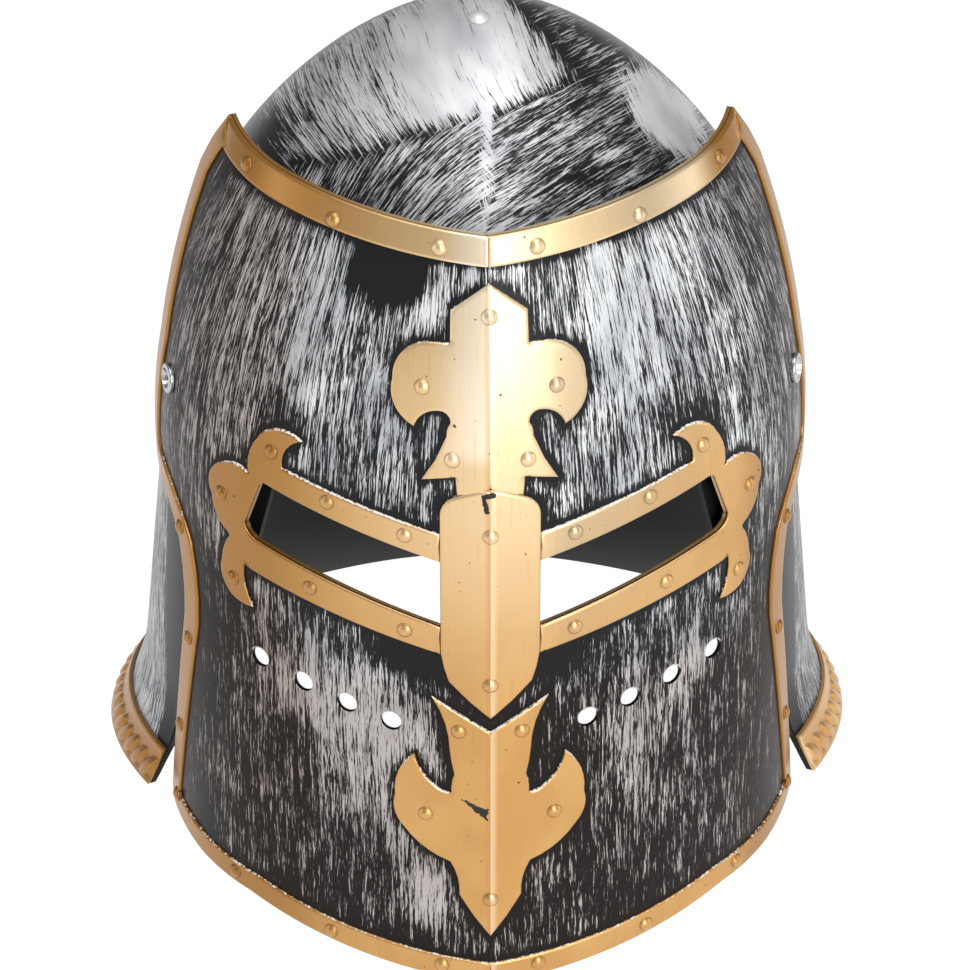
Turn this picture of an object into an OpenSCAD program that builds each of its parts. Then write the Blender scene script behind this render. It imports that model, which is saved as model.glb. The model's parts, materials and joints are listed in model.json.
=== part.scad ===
// Sugarloaf helmet: a tall crown with a bell-shaped neck, and a face visor that
// swings up on two side pivots and carries riveted gold plates and borders.
// Millimetres. The face looks along -Y, the wearer's left is +X and Z is up.
// The shapes are drawn with Y = 0 on the line through the two pivots, and each piece is then moved
// so that the origin is on the table under the middle of the whole helmet.

/* [Crown and skull] */
// Height of the crown's tip above the table
crown_top = 304; // [298:1:312]
// Height of the waist, above which the crown closes in
waist_z = 175; // [168:1:180]
// Half width of the skull at its waist
skull_half_w = 105.5; // [98:0.5:106.5]
// Distance of the skull's widest line behind the pivots
skull_back = 45; // [42:0.5:52]
// How much further back that line lies at the table
skull_lean = 23; // [16:1:28]
// Growth of the half width from the waist down to the table
skull_taper = 19.5; // [14:0.5:22]
// Sharpness of the front and back ridge on the lower skull
ridge_low = 0.03; // [0.01:0.01:0.06]
// Sharpness of the front and back ridge on the crown
ridge_top = 0.1; // [0.02:0.01:0.14]
// Front reach of the cheeks, as a share of the half width
cheek_reach = 1; // [0.94:0.01:1.04]
// Front reach of the brow, as a share of the half width
brow_reach = 0.93; // [0.85:0.01:0.96]
// Front reach of the rim, as a share of the half width
rim_reach = 0.86; // [0.8:0.01:0.9]
// Rear reach of the rim, as a share of the half width
nape_reach = 0.9; // [0.86:0.01:0.98]
// Wall of the skull
skull_wall = 2; // [1.5:0.1:3]
// Height of the brow edge over the face opening
brow_z = 240; // [232:1:246]

/* [Rim and beaded band] */
// Angle from the face at which the skull's rim starts
corner_angle = 62; // [60:1:66]
// Height of the rim at its front corners
rim_front_z = 21; // [18:1:24]
// Upright part of the face opening's edge, over the rim's corner
heel_h = 16; // [12:1:20]
// Angle from the face behind which the rim is level with the table
level_angle = 162; // [150:1:166]
// How far the rim flares out
flare_out = 9.5; // [5:0.5:11]
// Height over which it flares
flare_h = 40; // [30:1:50]
// Height of the beaded band
band_h = 15; // [13:0.5:18]
// Thickness of the beaded band
band_t = 1.2; // [0.8:0.1:2]
// Number of beads on the band
bead_count = 60; // [40:1:64]
// Height of a bead over the band
bead_rise = 1.6; // [0.8:0.1:2.2]

/* [Visor] */
// Height of the pivots above the table
pivot_z = 192; // [188:0.5:196]
// Room between the skull's waist and the visor, side to side
visor_room = 3.1; // [2.8:0.1:5]
// Wall of the visor
visor_wall = 1.6; // [1.2:0.1:2]
// Radius of the visor's sides in plan
side_r = 88; // [80:1:96]
// Angle from the face at which the cheeks turn into the sides
turn_angle = 40; // [35:1:45]
// How far the cheek arcs are centred beyond the middle, which makes the keel
cheek_shift = 27; // [18:1:32]
// Distance of the visor's widest line behind the pivots
visor_back = 28; // [26:0.5:32]
// Height of the visor's widest point
widest_z = 162; // [156:1:168]
// Radius at which the visor bends in above that point
upper_bend = 280; // [260:5:320]
// Radius at which it bends out below that point
lower_bend = 4400; // [3500:100:9000]

/* [Gold plates] */
// Thickness of the borders and ornaments
plate_t = 1; // [0.8:0.1:1.4]
// Thickness of the nasal shield, which stands prouder
nasal_t = 1.5; // [1.2:0.1:2]
// Width of the border strips
border_w = 8; // [6:0.5:9]
// Half width of the nasal shield
nasal_half_w = 15.7; // [14:0.1:17]
// Diameter of the breath holes
breath_d = 7; // [5:0.5:8]

/* [Rivets and pivots] */
// Diameter of a rivet's head
rivet_head_d = 5.2; // [4:0.1:6]
// Height of a rivet's head
rivet_head_h = 1.4; // [0.8:0.1:1.8]
// Diameter of a rivet's shank
rivet_shank_d = 2.4; // [1.6:0.1:3]
// Diameter of the pivot pins
pin_d = 4; // [3:0.1:4.4]
// Diameter of the pivot eyelets
eyelet_d = 10; // [9.8:0.1:11]
// Diameter of the pivot bushes
bush_d = 9; // [8:0.1:9.6]

/* [Padding] */
// Thickness of the foam pads
pad_t = 8; // [5:0.5:12]
// Share of the crown over the brow that the brow pad covers
brow_pad_share = 0.47; // [0.3:0.01:0.5]
// Share of the crown over the brow that stays free under the crown pad
crown_pad_share = 0.59; // [0.56:0.01:0.75]
// Height of the nape pad's lower edge above the table
nape_pad_z = 85; // [70:1:100]
// Height of the nape pad
nape_pad_h = 50; // [30:1:60]

/* [Hidden] */

$fn = 48;
steel = "dimgray";
gold = "goldenrod";
foam = "darkslategray";
silver = "silver";

// Clearances that the fits share
seat_gap = 0.3;     // between a pad or the band and the skull's wall
run_gap = 0.05;     // radial and end play of the pivots
head_gap = 0.04;    // under a flat rivet head on a curved plate
tail_gap = 0.1;     // over a flat rivet tail inside the curve

// Small helpers
function clamp(t) = min(1, max(0, t));
function ease(t) = let (c = clamp(t)) c * c * (3 - 2 * c);
function mix(a, b, t) = a + (b - a) * t;

// The skull's skin
// Half width at height z of a skin that lies a distance inset inside the outer one
function skull_w(z, inset) =
    z > waist_z
        ? (skull_half_w - inset) * pow(max(0, 1 - pow((z - waist_z) / (crown_top - inset - waist_z), 2)), 2 / 3)
        : skull_half_w - inset + skull_taper * (waist_z - z) / waist_z;
function skull_y(z) = skull_back + skull_lean * max(0, waist_z - z) / waist_z;
function ridge(z) = mix(ridge_low, ridge_top, ease((z - 190) / 60));
function front_reach(z) = z < waist_z
    ? mix(rim_reach, cheek_reach, ease(z / 120))
    : mix(cheek_reach, brow_reach, ease((z - waist_z) / 75));
function back_reach(z) = mix(nape_reach, 1, ease(z / waist_z));
// Height of the rim at an angle from the face
function rim_z(a) = rim_front_z * (1 - ease((a - corner_angle) / (level_angle - corner_angle)));
// Lower edge of the skull at an angle from the face: the brow, the sides of the face opening, the rim
opening_turn = 0.42;   // share of the corner angle at which the brow starts to fall
heel_turn = 0.4;       // angle over which the edge stands up from the corner
function edge_z(a) =
    a > corner_angle - heel_turn / 2
        ? rim_z(a)
        : mix(brow_z, rim_front_z + heel_h, ease((a / corner_angle - opening_turn) / (1 - opening_turn)));
function flare(a, z) = flare_out * pow(clamp(1 - (z - rim_z(a)) / flare_h), 2);
// A point on the skin at an angle a (0 at the face, 180 at the nape) and a height z
function skull_point(a, z, inset) =
    let (side = a > 180 ? 360 - a : a,
         w = skull_w(z, inset) + flare(side, z),
         k = ridge(z),
         c = cos(a),
         r = sqrt(pow(w * (1 + k), 2) - pow(k * w * c, 2)) - k * w * abs(sin(a)))
    [r * sin(a), skull_y(z) - (c > 0 ? front_reach(z) : back_reach(z)) * r * c, z];
// Half width of the skin where it passes a given y
function skull_x(y, z, inset) =
    let (w = skull_w(z, inset), k = ridge(z), q = (skull_y(z) - y) / front_reach(z))
    sqrt(pow(w * (1 + k), 2) - q * q) - k * w;

face_cols = 34;      // columns over the face opening
nape_cols = 46;      // columns round the nape
skull_rows = 20;
nape_span = 360 - 2 * corner_angle;
face_half = corner_angle - heel_turn;
skull_angles = concat(
    [for (i = [0 : face_cols]) (360 + mix(-face_half, face_half, i / face_cols)) % 360],
    [for (i = [0 : nape_cols]) corner_angle + nape_span * i / nape_cols]);

// A closed shell between two skins: rings of points from the lower edge to the tip
module skull_skin() {
    cols = len(skull_angles);
    function ring(i, inset) = [for (a = skull_angles)
        let (side = a > 180 ? 360 - a : a, low = edge_z(side), high = crown_top - inset)
        skull_point(a, mix(low, high, (1 - cos(180 * i / skull_rows)) / 2), inset)];
    function skin(inset) = [for (i = [0 : skull_rows - 1]) each ring(i, inset)];
    tip_out = [0, skull_back, crown_top];
    tip_in = [0, skull_back, crown_top - skull_wall];
    count = skull_rows * cols;
    points = concat(skin(0), skin(skull_wall), [tip_out, tip_in]);
    function at(s, i, j) = s * count + i * cols + j % cols;
    walls = [for (i = [0 : skull_rows - 2], j = [0 : cols - 1]) each [
        [at(0, i, j), at(0, i + 1, j), at(0, i + 1, j + 1)], [at(0, i, j), at(0, i + 1, j + 1), at(0, i, j + 1)],
        [at(1, i, j), at(1, i + 1, j + 1), at(1, i + 1, j)], [at(1, i, j), at(1, i, j + 1), at(1, i + 1, j + 1)]]];
    edge = [for (j = [0 : cols - 1]) each [
        [at(0, 0, j), at(0, 0, j + 1), at(1, 0, j + 1)], [at(0, 0, j), at(1, 0, j + 1), at(1, 0, j)]]];
    last = skull_rows - 1;
    tips = [for (j = [0 : cols - 1]) each [
        [at(0, last, j), 2 * count, at(0, last, j + 1)], [at(1, last, j), at(1, last, j + 1), 2 * count + 1]]];
    polyhedron(points, concat(walls, edge, tips));
}

// A patch of padding or trim that follows the skull: a grid between two angles,
// whose cells have a near and a far side
module skull_patch(angles, near, far) {
    rows = len(near[0]);
    cols = len(angles);
    points = [for (j = [0 : cols - 1]) each concat(near[j], far[j])];
    function n(i, j) = j * 2 * rows + i;
    function f(i, j) = n(i, j) + rows;
    skins = [for (j = [0 : cols - 2], i = [0 : rows - 2]) each [
        [n(i, j), n(i + 1, j), n(i + 1, j + 1)], [n(i, j), n(i + 1, j + 1), n(i, j + 1)],
        [f(i, j), f(i + 1, j + 1), f(i + 1, j)], [f(i, j), f(i, j + 1), f(i + 1, j + 1)]]];
    top = rows - 1;
    rims = [for (j = [0 : cols - 2]) each [
        [n(0, j), n(0, j + 1), f(0, j + 1)], [n(0, j), f(0, j + 1), f(0, j)],
        [n(top, j), f(top, j + 1), n(top, j + 1)], [n(top, j), f(top, j), f(top, j + 1)]]];
    end = cols - 1;
    caps = [for (i = [0 : rows - 2]) each [
        [n(i, 0), f(i + 1, 0), n(i + 1, 0)], [n(i, 0), f(i, 0), f(i + 1, 0)],
        [n(i, end), n(i + 1, end), f(i + 1, end)], [n(i, end), f(i + 1, end), f(i, end)]]];
    polyhedron(points, concat(skins, rims, caps));
}

// The visor's skin. Its radii are rounded to a thousandth, so that the cheek and side arcs meet exactly
function round3(t) = round(1000 * t) / 1000;
visor_half_w = skull_half_w + visor_room;
side_x = visor_half_w - side_r;
cheek_r = side_r + round3((side_x + cheek_shift) / sin(turn_angle));
cheek_y = visor_back + (cheek_r - side_r) * cos(turn_angle);
// How far the visor bends in (negative) or out at a height
function bend(z) =
    let (h = z - widest_z) round3(h > 0 ? -h * h / (2 * upper_bend) : h * h / (2 * lower_bend));
function bend_slope(z) =
    let (h = z - widest_z) h > 0 ? atan(h / upper_bend) : atan(-h / lower_bend);
// Where the cheek turns into the side, seen from the front
function turn_x(z, out) = side_x + (side_r + bend(z) + out) * sin(turn_angle);
// The y of a skin that lies a distance out from the visor's face, and the way it faces there
function visor_y(x, z, out) =
    let (r = bend(z) + out, v = abs(x))
    v < turn_x(z, out)
        ? cheek_y - sqrt(pow(cheek_r + r, 2) - pow(v + cheek_shift, 2))
        : visor_back - sqrt(pow(side_r + r, 2) - pow(v - side_x, 2));
function visor_turn(x, z) =
    let (v = abs(x))
    sign(x) * (v < turn_x(z, 0) ? asin((v + cheek_shift) / (cheek_r + bend(z))) : asin((v - side_x) / (side_r + bend(z))));
// The x of the skin where it passes a given y, on the side arc
function visor_x(y, z, out) = side_x + sqrt(pow(side_r + bend(z) + out, 2) - pow(visor_back - y, 2));

band_step = 12;      // height of one conical band of the skin
band_shift = 0.37;   // keeps the bands' edges clear of the outlines' corners
function band_heights(low, high) = [for (k = [floor(low / band_step) - 1 : ceil(high / band_step)])
    k * band_step + band_shift];

// The part of a skin layer on the wearer's left between two heights: a cheek arc, which starts
// beyond the middle and is trimmed there, and a side arc, drawn from the plane where they meet
keel_start = 3;
side_end = 100;
module layer(low, high, from, to) {
    zs = band_heights(low, high);
    module arc(r, angle) rotate_extrude(angle = angle) polygon(concat(
        [for (z = zs) [r + bend(z) + to, z]],
        [for (k = [len(zs) - 1 : -1 : 0]) [r + bend(zs[k]) + from, zs[k]]]));
    translate([side_x, visor_back, 0]) rotate([0, 0, turn_angle - 90]) {
        arc(side_r, side_end - turn_angle);
        translate([side_r - cheek_r, 0, 0]) mirror([0, 1, 0]) arc(cheek_r, turn_angle - keel_start);
    }
}

reach = 150;      // longer than the visor is deep or wide
// Prisms of a flat outline: seen from the front, and seen from the wearer's left
module from_front() rotate([90, 0, 0]) linear_extrude(reach) children();
module from_side() rotate([90, 0, 90]) linear_extrude(reach) children();
// Both halves of something drawn on the wearer's left
module both_sides() {
    children();
    mirror([1, 0, 0]) children();
}

// Outlines: each entry is [x, z, bulge], where bulge is the height of the arc
// that runs from this point to the next one, positive outwards, going clockwise
arc_step = 14;    // degrees of arc to one side of the outline
function arc_points(p, q, s) =
    abs(s) < 0.01 ? [[p[0], p[1]]] :
    let (d = [q[0] - p[0], q[1] - p[1]], c = norm(d),
         left = [-d[1], d[0]] / c,
         r = (c * c / 4 + s * s) / (2 * s),
         mid = [p[0] + q[0], p[1] + q[1]] / 2,
         o = mid + left * (s - r),
         v = [p[0], p[1]] - o,
         turn = -4 * atan(2 * s / c),
         n = max(1, ceil(abs(turn) / arc_step)))
    [for (i = [0 : n - 1]) let (t = turn * i / n)
        o + [v[0] * cos(t) - v[1] * sin(t), v[0] * sin(t) + v[1] * cos(t)]];
function low_z(list) = min([for (p = list) p[1]]);
function high_z(list) = max([for (p = list) p[1]]);
function outline(list) = [for (i = [0 : len(list) - 1])
    each arc_points(list[i], list[(i + 1) % len(list)], len(list[i]) > 2 ? list[i][2] : 0)];

// Side view of the visor's edge, as [y, z, bulge] from the top edge's front end
far_front = -130;
top_mid = [-54.5, 270.3];     // where the top edge crosses the keel
tip = [8, 283];               // upper corner
chin = [-79, 0];              // where the bottom edge crosses the keel
top_slope = (tip[1] - top_mid[1]) / (tip[0] - top_mid[0]);
chin_slope = 0.3;
visor_edge = [
    [far_front, top_mid[1] + top_slope * (far_front - top_mid[0])],
    [tip[0], tip[1], 0.8],
    [15.5, 264, 0],
    [13.5, 205, -0.6],
    [20.5, 164, 2],
    [14, 152, -3.5],
    [-9, 136, -1.2],
    [-11, 108, -1.5],
    [6, 27, 2.5],
    [0, 18, 0.8],
    [-40, 12.2, 0.6],
    [chin[0], chin[1]],
    [far_front, chin[1] + chin_slope * (far_front - chin[0])]];
module visor_side() polygon(outline(visor_edge));
module visor_ring() difference() {
    visor_side();
    offset(delta = -border_w) visor_side();
}

// Front view of the eye slit and the ornaments on the wearer's left, as [x, z, bulge]
slit = [[nasal_half_w, 165], [71, 178.2, 0.3], [72.5, 176.8], [77.6, 161, 1], [74, 155.6, 0.4], [nasal_half_w, 140.5]];
upper_fleur_edge = [
    [0, 257], [11.8, 248.3], [12.1, 238.2], [19, 238, 3.2], [29.8, 225, 3], [23.3, 210.8, -1.6],
    [15.7, 216.8, -1.2], [12.2, 213.2, 0.4], [13.4, 209, -0.6], [21.3, 193.5], [10.8, 195.6], [10.4, 189.6, 0.9],
    [0, 192.6]];
nasal_edge = [
    [0, 192.5, 1], [10.4, 189.3, 1.6], [nasal_half_w, 181.5], [nasal_half_w, 131, 0.3], [13.3, 120.5, 0.4], [0, 107.4]];
lower_fleur_edge = [
    [0, 101.9], [18.8, 113.4, -1.4], [13.2, 93.6, 0.2], [11.7, 84, 0.4], [12.7, 76.6, -0.6], [17.6, 78.4, -1.4],
    [24.4, 90.4, 2.2], [31, 72.4, 1.6], [28.4, 60.5, 1.6], [13.2, 49, -1], [10.3, 36, 0.4], [0, 20]];
eye_frame_edge = [
    [nasal_half_w, 175.1], [64.8, 186, -2.2], [58.2, 197.2, 3.6], [72.4, 193.6, 1.4], [75.8, 179.4, 1.2],
    [82.4, 180.6, 3.2], [88.2, 165.4, 1.6], [82.8, 153.2, 0.6], [85.8, 142, 1.6], [82.9, 130.2, 0.8], [75.8, 129, -1.2],
    [78.4, 144], [nasal_half_w, 130.2]];

// Rivets, as [x, z] on the wearer's left; the ones on the middle line stand alone and those of the
// side borders are placed in the side view, like their border
top_rivets = [[14.8, 266.2], [46.8, 268.4], [73.4, 274.8]];
side_rivets = [for (p = [[-7.2, 141.4], [-6.1, 99], [1.5, 57.5]]) [visor_x(p[0], p[1], 0), p[1]]];
bottom_rivets = [[16.1, 6.4], [53, 9.8], [85.5, 17.2], [visor_x(-0.25, 24.8, 0), 24.8]];
upper_fleur_rivets_at = [[20.6, 224], [11.7, 201.5]];
lower_fleur_rivets_at = [[10.2, 101.3], [21, 67.2]];
eye_frame_rivets_at = [
    [68, 190.5], [84.8, 167.8], [82, 137.1], [50.7, 179], [26.7, 173.2], [56.9, 145], [27, 137.6]];
upper_fleur_top_rivet = [[0, 247.3]];
lower_fleur_low_rivet = [[0, 35.3]];
nasal_rivets_at = [[0, 176.4], [0, 120.5]];
breath_holes = [for (i = [0 : 3]) [32 + 14.2 * i, 100.6 + 3.05 * i]];

// Puts something that points along -Y on the visor's skin, square to it. The skin is made of
// conical bands, which lie a little inside the curve between their edges.
module on_visor(x, z) {
    low = floor((z - band_shift) / band_step) * band_step + band_shift;
    bend_low = bend(low);
    bend_high = bend(low + band_step);
    inside = mix(bend_low, bend_high, (z - low) / band_step) - bend(z);
    translate([x, visor_y(x, z, inside), z])
        rotate([atan((bend_high - bend_low) / band_step), 0, visor_turn(x, z)]) children();
}
rivet_bore_d = rivet_shank_d + 2 * run_gap;
rivet_tail_d = rivet_head_d * 0.75;
rivet_tail_h = 0.8;
// One rivet from the plate's face: domed head outside, flattened tail inside the visor
module rivet(grip) {
    ball = (rivet_head_d * rivet_head_d / 4 + rivet_head_h * rivet_head_h) / (2 * rivet_head_h);
    tail_at = -grip - tail_gap;
    rotate([90, 0, 0]) rotate_extrude() {
        translate([0, head_gap]) intersection() {
            translate([0, rivet_head_h - ball]) circle(ball, $fn = 96);
            square([rivet_head_d / 2, rivet_head_h]);
        }
        translate([0, tail_at - rivet_tail_h]) square([rivet_shank_d / 2, head_gap - tail_at + rivet_tail_h]);
        translate([0, tail_at - rivet_tail_h]) square([rivet_tail_d / 2, rivet_tail_h]);
    }
}
// The rivets of a plate, on the same lines as their bores. On the keel a flat tail spans the valley.
keel_room = rivet_tail_d / 2 * cheek_shift / cheek_r;
module rivets(places, t) for (p = places) on_visor(p[0], p[1]) translate([0, -t, 0])
    rivet(t + visor_wall + (p[0] == 0 ? keel_room : 0));
function other_side(places) = [for (p = places) [-p[0], p[1]]];
function pairs(places) = concat(places, other_side(places));
bore_len = 12;
module rivet_bores(places) for (p = places) on_visor(p[0], p[1])
    rotate([90, 0, 0]) cylinder(d = rivet_bore_d, h = bore_len, center = true);

all_rivets = concat(
    pairs(top_rivets), pairs(side_rivets), pairs(bottom_rivets), pairs(upper_fleur_rivets_at),
    pairs(lower_fleur_rivets_at), pairs(eye_frame_rivets_at), upper_fleur_top_rivet, lower_fleur_low_rivet,
    nasal_rivets_at);

// The pivots: an eyelet sits in the visor's side, a pin runs along X through it and through a bush
// in the skull, and a washer holds the pin's inner end
pivot_x = visor_x(0, pivot_z, 0);
pin_bore_d = pin_d + 2 * run_gap;
pin_head_d = 6.6;
pin_head_h = 1;
recess_d = pin_head_d + 4 * run_gap;
recess_floor_x = pivot_x - 1.1;
eyelet_rise = 1.3;
eyelet_barrel_d = eyelet_d - 1.2;
eyelet_inner_x = pivot_x - 5;
bush_outer_x = eyelet_inner_x - run_gap;
bush_flange_d = bush_d + 4;
bush_flange_h = 1.5;
bush_inner_x = skull_x(-bush_flange_d / 2, pivot_z, skull_wall) - seat_gap;
washer_d = bush_d;
washer_h = 1;
washer_inner_x = bush_inner_x - bush_flange_h - washer_h - run_gap;
pin_tail_d = 6.4;
pin_tail_h = 1.2;

// Puts something that points along +Z on the pivot's line, pointing out to the wearer's left
module along_pivot(x) translate([x, 0, pivot_z]) rotate([0, 90, 0]) children();
module square_to_side() translate([pivot_x, 0, pivot_z])
    rotate([-bend_slope(pivot_z), 0, visor_turn(pivot_x, pivot_z)]) rotate([90, 0, 0]) children();
module left_or_right(left) {
    if (left) children();
    else mirror([1, 0, 0]) children();
}

// The band's section, as [height over the rim, share of a bead's rise]
band_section = [[0, 0], [1.8, 0], [3.2, 0.75], [5.6, 1], [8, 0.75], [9.4, 0], [band_h, 0]];
bead_swell = [0, 0.75, 1, 0.75];
function band_lift(s, swell) = -seat_gap - band_t - bead_rise * s[1] * swell;

// Places a finished piece over the middle of the helmet, which lies halfway between the lowest
// rivet on the keel and the band at the nape
front_y = visor_y(0, lower_fleur_low_rivet[0][1], plate_t + head_gap + rivet_head_h);
rear_y = max([for (s = band_section) skull_point(180, s[0], band_lift(s, 1))[1]]);
module piece(c) translate([0, -(front_y + rear_y) / 2, 0]) color(c) children();

// Skull, trim and padding
module skull_shell() piece(steel) difference() {
    skull_skin();
    both_sides() along_pivot(0) cylinder(d = bush_d, h = reach);
    at_crown_rivet(-skull_wall * 5) cylinder(d = rivet_bore_d, h = reach);
}

module rim_band() {
    cols = len(bead_swell) * bead_count;
    angles = [for (j = [0 : cols]) corner_angle + nape_span * j / cols];
    function low(j) = rim_z(min(angles[j], 360 - angles[j]));
    function outside(j) = [for (s = band_section)
        skull_point(angles[j], low(j) + s[0], band_lift(s, bead_swell[j % len(bead_swell)]))];
    function inside(j) = [for (s = band_section) skull_point(angles[j], low(j) + s[0], -seat_gap)];
    piece(gold) skull_patch(angles, [for (j = [0 : cols]) outside(j)], [for (j = [0 : cols]) inside(j)]);
}

// A larger rivet stands on the crown's ridge, a little in front of the tip
crown_rivet_ahead = 9;
crown_rivet_y = skull_back - crown_rivet_ahead;
crown_rivet_d = 7;
crown_rivet_h = 2;
crown_rivet_grip = skull_wall + 2 * tail_gap;
// Height at which the crown's front ridge has a given distance from the tip's line
function ridge_z(dist) = let (w = dist / (brow_reach * sqrt(1 + 2 * ridge_top)))
    waist_z + (crown_top - waist_z) * sqrt(1 - pow(w / skull_half_w, 3 / 2));
crown_rivet_tilt = atan((ridge_z(crown_rivet_ahead - 1) - ridge_z(crown_rivet_ahead + 1)) / 2);
module at_crown_rivet(h) translate([0, crown_rivet_y, ridge_z(crown_rivet_ahead)])
    rotate([crown_rivet_tilt, 0, 0]) translate([0, 0, h]) children();
module crown_rivet() piece(steel) {
    ball = (crown_rivet_d * crown_rivet_d / 4 + crown_rivet_h * crown_rivet_h) / (2 * crown_rivet_h);
    at_crown_rivet(head_gap) rotate_extrude() {
        intersection() {
            translate([0, crown_rivet_h - ball]) circle(ball, $fn = 96);
            square([crown_rivet_d / 2, crown_rivet_h]);
        }
        translate([0, -crown_rivet_grip]) square([rivet_shank_d / 2, crown_rivet_grip]);
        translate([0, -crown_rivet_grip - rivet_tail_h]) square([rivet_tail_d / 2, rivet_tail_h]);
    }
}

pad_inset = skull_wall + seat_gap;
module pad(angles, low, high, rows) {
    function skin(a, inset) = [for (i = [0 : rows]) skull_point(a, mix(low, high, i / rows), inset)];
    piece(foam) skull_patch(angles, [for (a = angles) skin(a, pad_inset)], [for (a = angles) skin(a, pad_inset + pad_t)]);
}
module brow_pad() pad([for (a = [-30 : 5 : 30]) (a + 360) % 360], brow_z + 1, mix(brow_z, crown_top, brow_pad_share), 5);
module nape_pad() pad([for (a = [140 : 5 : 220]) a], nape_pad_z, nape_pad_z + nape_pad_h, 4);
// The crown pad fills the tip of the crown down to a flat underside, with room for the crown rivet
module crown_pad() {
    low = mix(brow_z, crown_top, crown_pad_share);
    high = crown_top - pad_inset - pad_t / 4;
    rows = 5;
    cols = 24;
    points = [for (i = [0 : rows], j = [0 : cols - 1])
        skull_point(360 * j / cols, mix(low, high, i / rows), pad_inset)];
    function at(i, j) = i * cols + j % cols;
    piece(foam) difference() {
        polyhedron(points, concat(
            [for (i = [0 : rows - 1], j = [0 : cols - 1]) each [
                [at(i, j), at(i + 1, j), at(i + 1, j + 1)], [at(i, j), at(i + 1, j + 1), at(i, j + 1)]]],
            [[for (j = [cols - 1 : -1 : 0]) at(rows, j)], [for (j = [0 : cols - 1]) at(0, j)]]));
        at_crown_rivet(-crown_rivet_grip - pad_t / 2) cylinder(d = rivet_tail_d + 1, h = pad_t);
    }
}

// Pivot pieces, drawn on the wearer's left
module bush(left) piece(silver) left_or_right(left) difference() {
    union() {
        along_pivot(bush_inner_x) cylinder(d = bush_d, h = bush_outer_x - bush_inner_x);
        along_pivot(bush_inner_x - bush_flange_h) cylinder(d = bush_flange_d, h = bush_flange_h);
    }
    along_pivot(0) cylinder(d = pin_bore_d, h = reach);
}
module pin(left) piece(silver) left_or_right(left) along_pivot(washer_inner_x - pin_tail_h) {
    rotate_extrude() {
        square([pin_tail_d / 2, pin_tail_h]);
        square([pin_d / 2, recess_floor_x + run_gap + pin_head_h - washer_inner_x + pin_tail_h]);
        translate([0, recess_floor_x + run_gap - washer_inner_x + pin_tail_h]) square([pin_head_d / 2, pin_head_h]);
    }
}
module washer(left) piece(silver) left_or_right(left) difference() {
    along_pivot(washer_inner_x) cylinder(d = washer_d, h = washer_h);
    along_pivot(0) cylinder(d = pin_bore_d, h = reach);
}
// The eyelet's rounded flange lies on the visor and its barrel runs along the pivot's line
module eyelet(left) piece(silver) left_or_right(left) difference() {
    union() {
        square_to_side() rotate_extrude() translate([0, head_gap]) {
            square([eyelet_d / 2 - eyelet_rise / 2, eyelet_rise]);
            translate([eyelet_d / 2 - eyelet_rise / 2, eyelet_rise / 2]) circle(eyelet_rise / 2);
            square([eyelet_d / 2, eyelet_rise / 2]);
        }
        intersection() {
            along_pivot(eyelet_inner_x) cylinder(d = eyelet_barrel_d, h = reach);
            square_to_side() translate([0, 0, -2 * eyelet_d]) cylinder(d = 4 * eyelet_d, h = 2 * eyelet_d + eyelet_rise / 2);
        }
    }
    along_pivot(0) cylinder(d = pin_bore_d, h = reach);
    along_pivot(recess_floor_x) cylinder(d = recess_d, h = reach);
}

// Visor
module visor_shell() piece(steel) difference() {
    both_sides() intersection() {
        layer(low_z(visor_edge), high_z(visor_edge), -visor_wall, 0);
        from_side() visor_side();
    }
    both_sides() from_front() polygon(outline(slit));
    both_sides() for (p = breath_holes) on_visor(p[0], p[1])
        rotate([90, 0, 0]) cylinder(d = breath_d, h = bore_len, center = true);
    both_sides() along_pivot(0) cylinder(d = eyelet_barrel_d, h = reach);
    rivet_bores(all_rivets);
}

// A plate on the visor, from the front view of its left half
module plate(edge, t) both_sides() intersection() {
    layer(low_z(edge), high_z(edge), 0, t);
    from_front() polygon(outline(edge));
}
module upper_fleur() piece(gold) difference() {
    plate(upper_fleur_edge, plate_t);
    both_sides() from_front() polygon(outline(nasal_edge));
    rivet_bores(concat(pairs(upper_fleur_rivets_at), upper_fleur_top_rivet));
}
module nasal_shield() piece(gold) difference() {
    plate(nasal_edge, nasal_t);
    rivet_bores(nasal_rivets_at);
}
module lower_fleur() piece(gold) difference() {
    plate(lower_fleur_edge, plate_t);
    rivet_bores(concat(pairs(lower_fleur_rivets_at), lower_fleur_low_rivet));
}
module eye_frame(left) piece(gold) left_or_right(left) difference() {
    intersection() {
        layer(low_z(eye_frame_edge), high_z(eye_frame_edge), 0, plate_t);
        from_front() difference() {
            polygon(outline(eye_frame_edge));
            polygon(outline(slit));
        }
    }
    rivet_bores(eye_frame_rivets_at);
}

// The border is four strips, which meet on a mitre at the visor's corners
mitre_top = [[tip[0] + 4, tip[1] + 8], [0, 270.5]];
mitre_low = [[14, 14], [-8, 28]];
mitre_reach = 40;
module top_part() polygon([
    [far_front, mitre_top[0][1] + mitre_reach], mitre_top[0] + [0, mitre_reach], mitre_top[0], mitre_top[1],
    mitre_top[1] - [30, 8.5], [far_front, mitre_top[1][1] - 24.5]]);
module low_part() polygon([
    [far_front, -2 * mitre_reach], [far_front, mitre_low[1][1] + 12], mitre_low[1] + [-22, 12], mitre_low[1],
    mitre_low[0], mitre_low[0] - [0, 2 * mitre_reach]]);
module border(low, high) intersection() {
    layer(low, high, 0, plate_t);
    from_side() children();
}
module top_border() piece(gold) difference() {
    both_sides() border(mitre_top[1][1] - border_w * 3, high_z(visor_edge)) intersection() {
        visor_ring();
        top_part();
    }
    rivet_bores(pairs(top_rivets));
}
module bottom_border() piece(gold) difference() {
    both_sides() border(low_z(visor_edge), mitre_low[1][1] + border_w) intersection() {
        visor_ring();
        low_part();
    }
    rivet_bores(pairs(bottom_rivets));
}
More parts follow.
